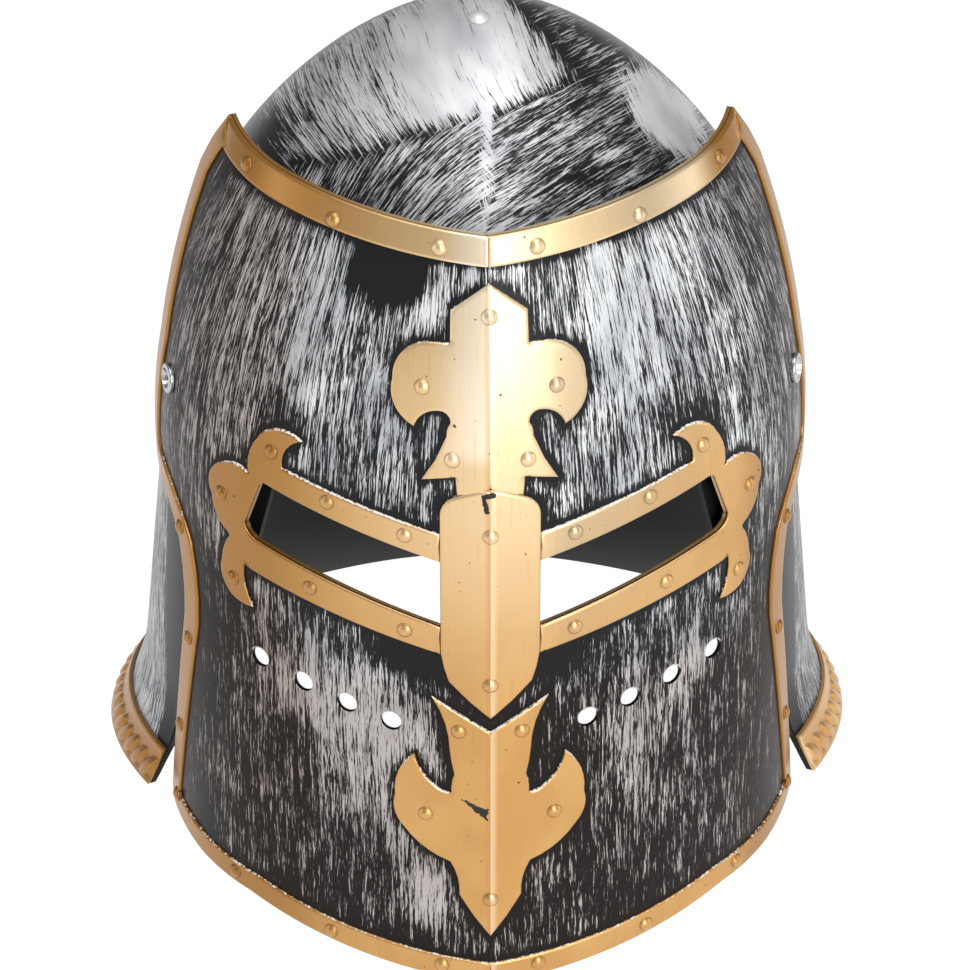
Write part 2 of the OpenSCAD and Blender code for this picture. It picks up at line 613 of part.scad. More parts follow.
module side_border(left) piece(gold) left_or_right(left) difference() {
    border(low_z(visor_edge), high_z(visor_edge)) difference() {
        visor_ring();
        top_part();
        low_part();
    }
    rivet_bores(concat(side_rivets, bottom_rivets));
}

module top_border_rivets() piece(gold) rivets(pairs(top_rivets), plate_t);
module side_border_rivets(left) piece(gold) rivets(left ? side_rivets : other_side(side_rivets), plate_t);
module bottom_border_rivets() piece(gold) rivets(pairs(bottom_rivets), plate_t);
module upper_fleur_rivets() piece(gold) rivets(concat(pairs(upper_fleur_rivets_at), upper_fleur_top_rivet), plate_t);
module nasal_rivets() piece(gold) rivets(nasal_rivets_at, nasal_t);
module lower_fleur_rivets() piece(gold) rivets(concat(pairs(lower_fleur_rivets_at), lower_fleur_low_rivet), plate_t);
module eye_frame_rivets(left) piece(gold)
    rivets(left ? eye_frame_rivets_at : other_side(eye_frame_rivets_at), plate_t);

skull_shell();
rim_band();
crown_rivet();
crown_pad();
brow_pad();
nape_pad();
bush(true);  // pivot_bush_left
bush(false);  // pivot_bush_right
pin(true);  // pivot_pin_left
pin(false);  // pivot_pin_right
washer(true);  // pin_washer_left
washer(false);  // pin_washer_right
visor_shell();
top_border();
side_border(true);  // side_border_left
side_border(false);  // side_border_right
bottom_border();
upper_fleur();
nasal_shield();
lower_fleur();
eye_frame(true);  // eye_frame_left
eye_frame(false);  // eye_frame_right
eyelet(true);  // pivot_eyelet_left
eyelet(false);  // pivot_eyelet_right
top_border_rivets();
side_border_rivets(true);  // side_border_rivets_left
side_border_rivets(false);  // side_border_rivets_right
bottom_border_rivets();
upper_fleur_rivets();
nasal_rivets();
lower_fleur_rivets();
eye_frame_rivets(true);  // eye_frame_rivets_left
eye_frame_rivets(false);  // eye_frame_rivets_right
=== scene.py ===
# Sugarloaf helmet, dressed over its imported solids. Metres; the face looks along -Y, the wearer's
# left is +X and Z is up. Every piece is a closed mesh that stands for a solid of the frame.
import json
import math

import bpy
import numpy as np
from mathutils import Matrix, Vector
from mathutils.geometry import delaunay_2d_cdt


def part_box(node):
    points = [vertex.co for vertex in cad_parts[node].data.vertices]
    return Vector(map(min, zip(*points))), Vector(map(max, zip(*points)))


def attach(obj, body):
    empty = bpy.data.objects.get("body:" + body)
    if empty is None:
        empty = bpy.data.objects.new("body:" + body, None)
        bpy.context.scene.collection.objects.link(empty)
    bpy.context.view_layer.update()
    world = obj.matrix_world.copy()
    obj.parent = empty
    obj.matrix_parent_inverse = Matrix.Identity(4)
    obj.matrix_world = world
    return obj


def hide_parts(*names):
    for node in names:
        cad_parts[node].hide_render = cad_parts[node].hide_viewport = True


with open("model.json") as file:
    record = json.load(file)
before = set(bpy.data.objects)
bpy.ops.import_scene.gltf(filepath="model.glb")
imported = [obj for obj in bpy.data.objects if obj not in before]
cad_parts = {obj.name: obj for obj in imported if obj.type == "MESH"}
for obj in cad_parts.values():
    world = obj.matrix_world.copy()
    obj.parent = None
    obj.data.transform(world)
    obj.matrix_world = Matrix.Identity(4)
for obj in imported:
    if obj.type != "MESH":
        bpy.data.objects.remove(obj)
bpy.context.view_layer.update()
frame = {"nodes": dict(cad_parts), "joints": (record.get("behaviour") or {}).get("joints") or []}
hinge = next(j for j in frame["joints"] if j["name"] == "visor_pivot")
PIVOT_Y, PIVOT_Z = hinge["pos_m"][1], hinge["pos_m"][2]

# Camera: it looks down on the helmet from the front
VIEW_TARGET = Vector((0, PIVOT_Y, 0.187))
VIEW_DISTANCE = 1.2
VIEW_ELEVATION = math.radians(30)
VIEW_AZIMUTH = math.radians(-1.85)
VIEW_TILT = math.radians(1.55)      # the camera aims a little below the target
VIEW_PAN = math.radians(0.04)       # and a little to its right
LENS_MM = 135.8
SENSOR_MM = 36

# Skull, as in the solids
CROWN_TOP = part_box("skull_shell")[1].z
WAIST_Z = 0.175
SKULL_HALF_W = 0.1055
SKULL_BACK = 0.045
SKULL_LEAN = 0.023
SKULL_TAPER = 0.0195
RIDGE_LOW, RIDGE_TOP = 0.03, 0.1
RIM_REACH, CHEEK_REACH, BROW_REACH, NAPE_REACH = 0.86, 1.0, 0.93, 0.9
SKULL_WALL = 0.002
BROW_Z = 0.24
CORNER_ANGLE, LEVEL_ANGLE = 62, 162
RIM_FRONT_Z = 0.021
HEEL_H = 0.016
OPENING_TURN, HEEL_TURN = 0.42, 0.4
FLARE_OUT, FLARE_H = 0.0095, 0.04
BAND_H, BAND_T = 0.015, 0.0012
BEAD_COUNT, BEAD_STEP = 60, 0.0089
BEAD_RISE = 0.0016
SEAT_GAP = 0.0003
CROWN_RIVET_AHEAD = 0.009
CROWN_RIVET_D, CROWN_RIVET_H = 0.007, 0.0014

# Visor, as in the solids
VISOR_HALF_W = 0.1086
VISOR_WALL = 0.0016
SIDE_R = 0.088
SIDE_X = VISOR_HALF_W - SIDE_R
TURN = math.radians(40)
CHEEK_SHIFT = 0.027
VISOR_BACK = 0.028
CHEEK_R = SIDE_R + (SIDE_X + CHEEK_SHIFT) / math.sin(TURN)
CHEEK_Y = VISOR_BACK + (CHEEK_R - SIDE_R) * math.cos(TURN)
WIDEST_Z = 0.162
UPPER_BEND, LOWER_BEND = 0.28, 4.4
KEEL_ANGLE = math.asin(CHEEK_SHIFT / CHEEK_R)
TURN_S = CHEEK_R * (TURN - KEEL_ANGLE)
KEEL_ROUND = 0.0012
PLATE_T, NASAL_T = 0.001, 0.0015
BORDER_W = 0.008
NASAL_HALF_W = 0.0157
BREATH_D = 0.007
PIVOT_HOLE_D = 0.0088
RIVET_D, RIVET_H = 0.0052, 0.0014

MM = 0.001


# Small helpers
def ease(t):
    t = np.clip(t, 0, 1)
    return t * t * (3 - 2 * t)


def mix(a, b, t):
    return a + (b - a) * t


# Lines made of straight sides and arcs
ARC_STEP = math.radians(9)
LINE_STEP = 0.0025


def arc_points(p, q, bulge):
    if abs(bulge) < 0.01:
        return [(p[0], p[1])]
    d = Vector((q[0] - p[0], q[1] - p[1]))
    chord = d.length
    left = Vector((-d.y, d.x)) / chord
    radius = (chord * chord / 4 + bulge * bulge) / (2 * bulge)
    centre = Vector(((p[0] + q[0]) / 2, (p[1] + q[1]) / 2)) + left * (bulge - radius)
    v = Vector((p[0], p[1])) - centre
    turn = -4 * math.atan(2 * bulge / chord)
    steps = max(1, math.ceil(abs(turn) / ARC_STEP))
    points = []
    for i in range(steps):
        c, s = math.cos(turn * i / steps), math.sin(turn * i / steps)
        points.append((centre.x + v.x * c - v.y * s, centre.y + v.x * s + v.y * c))
    return points


def outline(corners):
    """The corners' outline as points in metres"""
    points = []
    for i, p in enumerate(corners):
        q = corners[(i + 1) % len(corners)]
        points += arc_points(p, q, p[2] if len(p) > 2 else 0)
    return [(x * MM, z * MM) for x, z in points]


def dense(points):
    """The same closed line with no side longer than the line step"""
    out = []
    for p, q in zip(points, points[1:] + points[:1]):
        n = max(1, math.ceil(math.dist(p, q) / LINE_STEP))
        out += [(mix(p[0], q[0], k / n), mix(p[1], q[1], k / n)) for k in range(n)]
    return out


# Outlines in millimetres: each entry is (across, up, bulge), where bulge is the height of the arc
# that runs from this point to the next one, positive outwards, going clockwise
SLIT = [(15.7, 165), (71, 178.2, 0.3), (72.5, 176.8), (77.6, 161, 1), (74, 155.6, 0.4), (15.7, 140.5)]
UPPER_FLEUR = [
    (0, 257), (11.8, 248.3), (12.1, 238.2), (19, 238, 3.2), (29.8, 225, 3), (23.3, 210.8, -1.6),
    (15.7, 216.8, -1.2), (12.2, 213.2, 0.4), (13.4, 209, -0.6), (21.3, 193.5), (10.8, 195.6),
    (10.4, 189.4, 0.9), (0, 192.6)]
NASAL = [
    (0, 192.5, 0.3), (10.4, 189.3, 1.6), (15.7, 181.5), (15.7, 131, 0.3), (13.3, 120.5, 0.4), (0, 107.4)]
LOWER_FLEUR = [
    (0, 101.9), (18.8, 113.4, -1.4), (13.2, 93.6, 0.2), (11.7, 84, 0.4), (12.7, 76.6, -0.6),
    (17.6, 78.4, -1.4), (24.4, 90.4, 2.2), (31, 72.4, 1.6), (28.4, 60.5, 1.6), (13.2, 49, -1),
    (10.3, 36, 0.4), (0, 20)]
EYE_FRAME = [
    (15.7, 175.1), (64.8, 186, -2.2), (58.2, 197.2, 3.6), (72.4, 193.6, 1.4), (75.8, 179.4, 1.2),
    (82.4, 180.6, 3.2), (88.2, 165.4, 1.6), (82.8, 153.2, 0.6), (85.8, 142, 1.6), (82.9, 130.2, 0.8),
    (75.8, 129, -1.2), (78.4, 144), (15.7, 130.2)]

# Rivets on the wearer's left and on the keel, as (x, z) in millimetres
TOP_RIVETS = [(14.8, 266.2), (46.8, 268.4), (73.4, 274.8)]
BOTTOM_RIVETS = [(16.1, 6.4), (53, 9.8), (85.5, 17.2)]
UPPER_FLEUR_RIVETS = [(20.6, 224), (11.7, 201.5)]
LOWER_FLEUR_RIVETS = [(10.2, 101.3), (21, 67.2)]
UPPER_KEEL_RIVET, LOWER_KEEL_RIVET = (0, 247.3), (0, 35.3)
NASAL_RIVETS = [(0, 176.4), (0, 120.5)]
EYE_FRAME_RIVETS = [
    (68, 190.5), (84.8, 167.8), (82, 137.1), (50.7, 179), (26.7, 173.2), (56.9, 145), (27, 137.6)]
BREATH_HOLES = [(32 + 14.2 * i, 100.6 + 3.05 * i) for i in range(4)]

# Side view of the visor's edge, with y measured from the pivots
TOP_MID, TIP = (-54.5, 270.3), (8, 283)
CHIN, CHIN_SLOPE = (-79, 0), 0.3
FAR_FRONT = -130
TOP_SLOPE = (TIP[1] - TOP_MID[1]) / (TIP[0] - TOP_MID[0])
VISOR_EDGE = [
    (FAR_FRONT, TOP_MID[1] + TOP_SLOPE * (FAR_FRONT - TOP_MID[0])), (*TIP, 0.8), (15.5, 264),
    (13.5, 205, -0.6), (20.5, 164, 2), (14, 152, -3.5), (-9, 136, -1.2), (-11, 108, -1.5), (6, 27, 2.5),
    (0, 18, 0.8), (-40, 12.2, 0.6), CHIN, (FAR_FRONT, CHIN_SLOPE * (FAR_FRONT - CHIN[0]))]
MITRE_TOP = ((12, 291), (0, 270.5))
MITRE_LOW = ((14, 14), (-8, 28))


# The visor's skin, over an arc length s from the keel and a height z
def bend(z):
    h = np.asarray(z) - WIDEST_Z
    return np.where(h > 0, -h * h / (2 * UPPER_BEND), h * h / (2 * LOWER_BEND))


def visor_points(s, z, out):
    """Points on the wearer's left, a distance out from the skin"""
    r = CHEEK_R + bend(z) + out
    keel = np.arcsin(CHEEK_SHIFT / r)
    cheek = np.minimum(keel + (TURN - keel) * s / TURN_S, TURN)
    on_cheek = s < TURN_S
    angle = np.where(on_cheek, cheek, TURN + (s - TURN_S) / SIDE_R)
    radius = np.where(on_cheek, r, r - CHEEK_R + SIDE_R)
    x = radius * np.sin(angle) + np.where(on_cheek, -CHEEK_SHIFT, SIDE_X)
    y = np.where(on_cheek, CHEEK_Y, VISOR_BACK) - radius * np.cos(angle)
    y = y + np.where(on_cheek, np.tan(cheek) * (np.hypot(x, KEEL_ROUND) - x), 0)
    return np.stack([x, y + PIVOT_Y, z + 0 * x], axis=-1)


def s_from_angle(angle, z):
    keel = math.asin(CHEEK_SHIFT / (CHEEK_R + float(bend(z))))
    if angle < TURN:
        return TURN_S * (angle - keel) / (TURN - keel)
    return TURN_S + SIDE_R * (angle - TURN)


def s_from_front(x, z):
    r = CHEEK_R + float(bend(z))
    angle = math.asin(min(1, (x + CHEEK_SHIFT) / r))
    if angle > TURN:
        angle = math.asin(min(1, (x - SIDE_X) / (SIDE_R + float(bend(z)))))
    return max(0, s_from_angle(angle, z))


def s_from_side(y, z):
    b = float(bend(z))
    angle = math.acos(min(1, (CHEEK_Y - y) / (CHEEK_R + b)))
    if angle > TURN:
        angle = math.acos((VISOR_BACK - y) / (SIDE_R + b))
    return s_from_angle(angle, z)


def x_from_side(y, z):
    """The skin's place in the front view, in millimetres, where it passes a place in the side view"""
    return (SIDE_X + math.sqrt((SIDE_R + float(bend(z * MM))) ** 2 - (VISOR_BACK - y * MM) ** 2)) / MM


# Rivets placed in the side view, as (x, z) in millimetres like the others
SIDE_RIVETS = [(x_from_side(y, z), z) for y, z in ((-10.3, 141.4), (-13.2, 99), (-4.6, 57.5))]
MITRE_RIVET = (x_from_side(-0.25, 24.8), 24.8)


def keel_y(z):
    return CHEEK_Y - math.sqrt((CHEEK_R + float(bend(z))) ** 2 - CHEEK_SHIFT ** 2)


# Regions of the skin: loops of (s, z), whose sides are bevelled unless both ends are on a seam
def front_loop(corners):
    """A front view's outline as (s, z, bevelled side that follows)"""
    return front_points(dense(outline(corners)))


def front_points(points, seam_x=0.0):
    on_seam = [x <= seam_x + 1e-6 for x, _ in points]
    n = len(points)
    return [(s_from_front(*points[i]), points[i][1], not (on_seam[i] and on_seam[(i + 1) % n]))
            for i in range(n)]


def round_loop(s, z, d, sides=36):
    return [(s + d / 2 * math.cos(math.tau * i / sides), z + d / 2 * math.sin(math.tau * i / sides), True)
            for i in range(sides)]


def offset_inwards(points, distance):
    """A clockwise closed line moved inwards"""
    out = []
    for i, p in enumerate(points):
        a, b = points[i - 1], points[(i + 1) % len(points)]
        n1 = Vector((p[1] - a[1], a[0] - p[0])).normalized()
        n2 = Vector((b[1] - p[1], p[0] - b[0])).normalized()
        v = (n1 + n2) * (distance / (1 + n1.dot(n2)))
        out.append((p[0] + v.x, p[1] + v.y))
    return out


def crossing(points, line):
    """Index before which a line cuts an open row of points, and the point there"""
    (ax, ay), (bx, by) = [(v[0] * MM, v[1] * MM) for v in line]
    side = [(bx - ax) * (z - ay) - (by - ay) * (y - ax) for y, z in points]
    for i in range(1, len(points)):
        if side[i - 1] * side[i] < 0:
            t = side[i - 1] / (side[i - 1] - side[i])
            return i, (mix(points[i - 1][0], points[i][0], t), mix(points[i - 1][1], points[i][1], t))
    raise ValueError("the line doesn't cut the row")


def side_row(points):
    """The part of a side view's line that lies behind the keel, from the top to the chin"""
    row = [p for p in points if p[0] > keel_y(p[1])]
    start = points.index(row[0])
    before, after = points[start - 1], points[(start + len(row)) % len(points)]

    def on_keel(p, q):
        for _ in range(40):
            m = ((p[0] + q[0]) / 2, (p[1] + q[1]) / 2)
            p, q = (m, q) if m[0] < keel_y(m[1]) else (p, m)
        return q
    return [on_keel(before, row[0]), *row, on_keel(after, row[-1])]


def short_steps(row):
    """The same row with no step on the skin longer than the line step"""
    out = [row[0]]
    for p, q in zip(row, row[1:]):
        gap = abs(max(0, s_from_side(*q)) - max(0, s_from_side(*p)))
        n = max(1, math.ceil(gap / LINE_STEP))
        out += [(mix(p[0], q[0], k / n), mix(p[1], q[1], k / n)) for k in range(1, n + 1)]
    return out


edge_ring = dense(outline(VISOR_EDGE))
OUTER_ROW = short_steps(side_row(edge_ring))
INNER_ROW = short_steps(side_row(dense(offset_inwards(outline(VISOR_EDGE), BORDER_W))))


def to_skin(row):
    return [(max(0, s_from_side(y, z)), z) for y, z in row]


def strip(outer, inner):
    """A border's loop from the same stretch of the outer and the inner row"""
    ahead, back = to_skin(outer), to_skin(inner)[::-1]
    loop = [(s, z, True) for s, z in ahead[:-1]] + [(*ahead[-1], False)]
    return loop + [(s, z, True) for s, z in back[:-1]] + [(*back[-1], False)]


def border_loops():
    o1, p1 = crossing(OUTER_ROW, MITRE_TOP)
    i1, q1 = crossing(INNER_ROW, MITRE_TOP)
    o2, p2 = crossing(OUTER_ROW, MITRE_LOW)
    i2, q2 = crossing(INNER_ROW, MITRE_LOW)
    top = strip([*OUTER_ROW[:o1], p1], [*INNER_ROW[:i1], q1])
    side = strip([p1, *OUTER_ROW[o1:o2], p2], [q1, *INNER_ROW[i1:i2], q2])
    low = strip([p2, *OUTER_ROW[o2:]], [q2, *INNER_ROW[i2:]])
    return top, side, low


def ends(loops):
    for loop in loops:
        for i, p in enumerate(loop):
            yield p, loop[(i + 1) % len(loop)]


def inside(points, loops):
    hit = np.zeros(len(points), bool)
    x, y = points[:, 0], points[:, 1]
    for p, q in ends(loops):
        if p[1] != q[1]:
            at = p[0] + (y - p[1]) * (q[0] - p[0]) / (q[1] - p[1])
            hit ^= ((y >= p[1]) != (y >= q[1])) & (x < at)
    return hit


def distance(points, loops, bevelled_only=True):
    """Distance of each point to the loops' sides"""
    best = np.full(len(points), 1.0)
    for p, q in ends(loops):
        if bevelled_only and not p[2]:
            continue
        a, d = np.array(p[:2]), np.array([q[0] - p[0], q[1] - p[1]])
        t = np.clip(((points - a) @ d) / max(d @ d, 1e-12), 0, 1)
        best = np.minimum(best, np.linalg.norm(points - a - t[:, None] * d, axis=1))
    return best


def ring_points(loops, depth):
    """Points along the bevelled sides, a depth inside them"""
    found = []
    for loop in loops:
        for i, p in enumerate(loop):
            a, b = loop[i - 1], loop[(i + 1) % len(loop)]
            n1 = Vector((p[1] - a[1], a[0] - p[0]))
            n2 = Vector((b[1] - p[1], p[0] - b[0]))
            if n1.length < 1e-9 or n2.length < 1e-9:
                continue
            n1.normalize()
            n2.normalize()
            v = (n1 + n2) * (depth / max(0.15, 1 + n1.dot(n2)))
            found += [(p[0] + v.x, p[1] + v.y), (p[0] - v.x, p[1] - v.y)]
    points = np.array(found)
    keep = inside(points, loops) & (distance(points, loops) > depth * 0.96)
    return points[keep]


def fill(loops, rings, spacing):
    """Triangles that fill the loops, as points (s, z) and corners"""
    flat = np.array([p[:2] for loop in loops for p in loop])
    low, high = flat.min(axis=0), flat.max(axis=0)
    rows = []
    for j, z in enumerate(np.arange(low[1], high[1], spacing * 0.866)):
        shift = spacing / 2 if j % 2 else 0
        rows += [(s + shift, z) for s in np.arange(low[0], high[0], spacing)]
    grid = np.array(rows)
    grid = grid[inside(grid, loops)]
    grid = grid[distance(grid, loops, False) > spacing * 0.55]
    extra = [grid[distance(grid, loops) > rings[-1] + spacing * 0.3]] if len(rings) else [grid]
    extra += [ring_points(loops, depth) for depth in rings]
    corners, sides = [], []
    for loop in loops:
        start = len(corners)
        corners += [Vector(p[:2]) for p in loop]
        sides += [(start + i, start + (i + 1) % len(loop)) for i in range(len(loop))]
    corners += [Vector(p) for p in np.concatenate(extra)]
    verts, _, faces, *_ = delaunay_2d_cdt(corners, sides, [], 0, 1e-6)
    points = np.array([v[:] for v in verts])
    tris = np.array(faces)
    centres = points[tris].mean(axis=1)
    tris = tris[inside(centres, loops)]
    a, b, c = (points[tris[:, k]] for k in range(3))
    turned = np.cross(b - a, c - a) < 0
    tris[turned] = tris[turned][:, ::-1]
    used = np.unique(tris)
    renumber = np.zeros(len(points), int)
    renumber[used] = np.arange(len(used))
    return points[used], renumber[tris]


def add_to_scene(name, data):
    obj = bpy.data.objects.new(name, data)
    bpy.context.scene.collection.objects.link(obj)
    return obj


def make_object(name, verts, faces, values, sharp=40):
    """A mesh object with smooth faces, sharp edges past an angle and named values at its points"""
    mesh = bpy.data.meshes.new(name)
    mesh.from_pydata([tuple(v) for v in verts], [], [tuple(int(i) for i in f) for f in faces])
    mesh.update()
    for key, data in values.items():
        data = np.asarray(data, float)
        kind = "FLOAT" if data.ndim == 1 else "FLOAT_VECTOR"
        layer = mesh.attributes.new(key, kind, "POINT")
        layer.data.foreach_set("value" if data.ndim == 1 else "vector", data.ravel())
    mesh.shade_smooth()
    mesh.set_sharp_from_angle(angle=math.radians(sharp))
    return add_to_scene(name, mesh)


def open_sides(tris):
    """The sides that only one triangle has"""
    found = {}
    for tri in tris:
        for k in range(3):
            a, b = int(tri[k]), int(tri[(k + 1) % 3])
            if (b, a) in found:
                del found[(b, a)]
            else:
                found[(a, b)] = True
    return found


def skin_piece(name, loops, top, base, bevel, spacing, sides, values):
    """A closed piece on the visor's skin, from out = base to out = top, with rounded upper edges.
    sides holds 1 for the wearer's left and -1 for the right; both make one piece over the keel.
    values makes more values for the points, from their place on the skin and distance to the rim."""
    width, depth = bevel
    rings = [width * k for k in (0.12, 0.4, 1, 1.3)]
    flat, tris = fill(loops, rings, spacing)
    near = distance(flat, loops)
    t = np.clip(near / width, 0, 1)
    lift = top - depth * (1 - np.sqrt(1 - (1 - t) ** 2))
    n = len(flat)
    upper = visor_points(flat[:, 0], flat[:, 1], lift)
    lower = visor_points(flat[:, 0], flat[:, 1], base)
    on_keel = flat[:, 0] < 1e-6
    half_faces = [tuple(f) for f in tris] + [tuple(f + n)[::-1] for f in tris]
    for a, b in open_sides(tris):
        if not (len(sides) == 2 and on_keel[a] and on_keel[b]):
            half_faces += [(b, a, a + n), (b, a + n, b + n)]
    half = np.concatenate([upper, lower])
    half_skin = np.column_stack([np.tile(flat, (2, 1)), np.concatenate([lift, 0 * lift + base])])
    half_near = np.concatenate([near, 0 * near - 1])
    verts, faces, skins, nears = [], [], [], []
    shared = np.concatenate([on_keel, on_keel])
    if len(sides) == 2:
        half[shared, 0] = 0
    for sign in sides:
        shift = len(verts)
        index = np.arange(2 * n) + shift
        if sign < 0 and len(sides) == 2:
            index = np.cumsum(~shared) - 1 + shift
            index[shared] = np.nonzero(shared)[0]
            add = ~shared
        else:
            add = np.ones(2 * n, bool)
        verts += [(sign * x, y, z) for x, y, z in half[add]]
        skins.append(half_skin[add] * [sign, 1, 1])
        nears.append(half_near[add])
        faces += [tuple(index[list(f)][::sign]) for f in half_faces]
    stored = {"skin": np.concatenate(skins), "near": np.concatenate(nears)}
    for key, make in values.items():
        stored[key] = make(stored["skin"], stored["near"])
    return make_object(name, verts, faces, stored)


def skin_frame(s, z, out):
    """A point on the skin and the directions across, out and up there"""
    step = 0.0005
    at = Vector(visor_points(s, z, out))
    ahead, back = visor_points(s + step, z, out), visor_points(max(0, s - step), z, out)
    above, below = visor_points(s, z + step, out), visor_points(s, z - step, out)
    across, up = Vector(ahead - back).normalized(), Vector(above - below).normalized()
    return at, across, across.cross(up).normalized(), up


def dome_faces(start, rows, sides):
    """Faces of rings of points that a tip and then a middle of the foot follow"""
    faces = []
    for i in range(rows):
        for k in range(sides):
            a, b = start + i * sides + k, start + i * sides + (k + 1) % sides
            faces.append((a, b, b + sides, a + sides) if i < rows - 1 else (a, b, start + rows * sides))
    middle = start + rows * sides + 1
    return faces + [(start + (k + 1) % sides, start + k, middle) for k in range(sides)]


def dome_rows(d, h, shares):
    """Half section of a dome as (radius, height), at shares of its radius"""
    ball = (d * d / 4 + h * h) / (2 * h)
    return [(r, math.sqrt(ball * ball - r * r) - ball + h) for r in (d / 2 * share for share in shares)]


def rivet_profile():
    """Half section of a rivet's head: a dome with a soft foot"""
    foot = [(RIVET_D / 2, -0.0002), (RIVET_D / 2, 0.0001), (RIVET_D / 2 * 0.98, 0.00025)]
    return foot + dome_rows(RIVET_D, RIVET_H, [0.95 * (1 - k / 8) for k in range(1, 8)])


def rivet_set(name, places, out):
    """One object with a rivet at each (x, z) in millimetres; a negative x is on the wearer's right"""
    profile, sides = rivet_profile(), 28
    verts, faces, skin = [], [], []
    for x, z in places:
        sign = -1 if x < 0 else 1
        s = s_from_front(abs(x) * MM, z * MM)
        at, across, outwards, up = skin_frame(s, z * MM, out)
        if x == 0:
            slope = math.atan(max(0, z * MM - WIDEST_Z) / UPPER_BEND)
            across = Vector((1, 0, 0))
            outwards = Vector((0, -math.cos(slope), math.sin(slope)))
            up = Vector((0, math.sin(slope), math.cos(slope)))
        start = len(verts)
        for r, h in profile:
            for k in range(sides):
                c, w = math.cos(math.tau * k / sides), math.sin(math.tau * k / sides)
                p = at + across * (r * c) + up * (r * w) + outwards * h
                verts.append((sign * p.x, p.y, p.z))
                skin.append((sign * s + r * c, z * MM + r * w, h))
        tip = at + outwards * RIVET_H
        verts += [(sign * tip.x, tip.y, tip.z), (sign * at.x, at.y, at.z)]
        skin += [(sign * s, z * MM, RIVET_H), (sign * s, z * MM, 0)]
        faces += [f[::sign] for f in dome_faces(start, len(profile), sides)]
    skin = np.array(skin)
    # near runs from -1 at the foot to 1 on the dome, so the gold paint darkens the foot by the wall-shade
    # value of 0.3: a thin painted contact shadow round each rivet.
    near = np.interp(skin[:, 2], [0.0003, 0.0006, 0.0008], [-1, -0.08, 1])
    return make_object(name, verts, faces, {
        "skin": skin, "near": near, "facing_up": 0 * near, "dark_wall": 0 * near + 0.3}, sharp=60)


# The skull's skin, over an angle from the face in degrees and a height
def skull_w(z, inset):
    height = CROWN_TOP - inset - WAIST_Z
    above = np.clip(1 - ((z - WAIST_Z) / height) ** 2, 0, None) ** (2 / 3)
    below = SKULL_HALF_W - inset + SKULL_TAPER * (WAIST_Z - z) / WAIST_Z
    return np.where(z > WAIST_Z, (SKULL_HALF_W - inset) * above, below)


def rim_z(a):
    return RIM_FRONT_Z * (1 - ease((a - CORNER_ANGLE) / (LEVEL_ANGLE - CORNER_ANGLE)))


def edge_z(a):
    opening = ease((a / CORNER_ANGLE - OPENING_TURN) / (1 - OPENING_TURN))
    return np.where(a > CORNER_ANGLE - HEEL_TURN / 2, rim_z(a), mix(BROW_Z, RIM_FRONT_Z + HEEL_H, opening))


def skull_points(angle, z, inset):
    side = np.where(angle > 180, 360 - angle, angle)
    flare = FLARE_OUT * np.clip(1 - (z - rim_z(side)) / FLARE_H, 0, 1) ** 2
    w = skull_w(z, inset) + flare
    k = mix(RIDGE_LOW, RIDGE_TOP, ease((z - 0.19) / 0.06))
    turn = np.radians(angle)
    c = np.cos(turn)
    r = np.sqrt((w * (1 + k)) ** 2 - (k * w * c) ** 2) - k * w * np.abs(np.sin(turn))
    front = np.where(z < WAIST_Z, mix(RIM_REACH, CHEEK_REACH, ease(z / 0.12)),
                     mix(CHEEK_REACH, BROW_REACH, ease((z - WAIST_Z) / 0.075)))
    back = mix(NAPE_REACH, 1, ease(z / WAIST_Z))
    lean = SKULL_LEAN * np.clip(WAIST_Z - z, 0, None) / WAIST_Z
    y = SKULL_BACK + lean - np.where(c > 0, front, back) * r * c
    return np.stack([r * np.sin(turn), y + PIVOT_Y, z + 0 * r], axis=-1)


def skull_dome(face_cols=56, nape_cols=170, rows=84):
    """The skull as an outer and an inner skin from the lower edge to the tip"""
    half = CORNER_ANGLE - HEEL_TURN
    angles = np.concatenate([
        (360 + np.linspace(-half, half, face_cols + 1)) % 360,
        np.linspace(CORNER_ANGLE, 360 - CORNER_ANGLE, nape_cols + 1)])
    cols = len(angles)
    side = np.where(angles > 180, 360 - angles, angles)
    verts = []
    for inset in (0, SKULL_WALL):
        for i in range(rows):
            t = (1 - math.cos(math.pi * i / rows)) / 2
            verts.append(skull_points(angles, mix(edge_z(side), CROWN_TOP - inset, t), inset))
    verts = np.concatenate(verts)
    count = rows * cols
    tip_y = SKULL_BACK + PIVOT_Y
    verts = np.concatenate([verts, [[0, tip_y, CROWN_TOP], [0, tip_y, CROWN_TOP - SKULL_WALL]]])
    faces = []
    for i in range(rows - 1):
        for j in range(cols):
            a, b = i * cols + j, i * cols + (j + 1) % cols
            faces += [(a, b, b + cols, a + cols), (count + b, count + a, count + a + cols, count + b + cols)]
    last = (rows - 1) * cols
    for j in range(cols):
        a, b = j, (j + 1) % cols
        faces += [(b, a, count + a, count + b), (last + a, last + b, 2 * count)]
        faces.append((last + b + count, last + a + count, 2 * count + 1))
    return verts, faces, count


def slab_faces(rows, cols):
    """Faces of a sheet of rows by cols cells: its points on the front, then those on the back"""
    wide = cols + 1
    n = (rows + 1) * wide
    faces = []
    for i in range(rows):
        for j in range(cols):
            a = i * wide + j
            faces += [(a, a + 1, a + 1 + wide, a + wide), (n + a + 1, n + a, n + a + wide, n + a + 1 + wide)]
    for j in range(cols):
        top = rows * wide + j
        faces += [(j + 1, j, n + j, n + j + 1), (top, top + 1, n + top + 1, n + top)]
    for i in range(rows):
        a, b = i * wide, i * wide + cols
        faces += [(a, a + wide, n + a + wide, n + a), (b + wide, b, n + b, n + b + wide)]
    return faces


BEAD_LEAN, BEAD_HALF_W = 0.22, 0.42     # in beads
BEAD_MID, BEAD_HALF_H = 0.0058, 0.0042
LIP_H = 0.0012
EDGE_MID, EDGE_HALF = 0.0139, 0.0011
ROUND_H = 0.0006


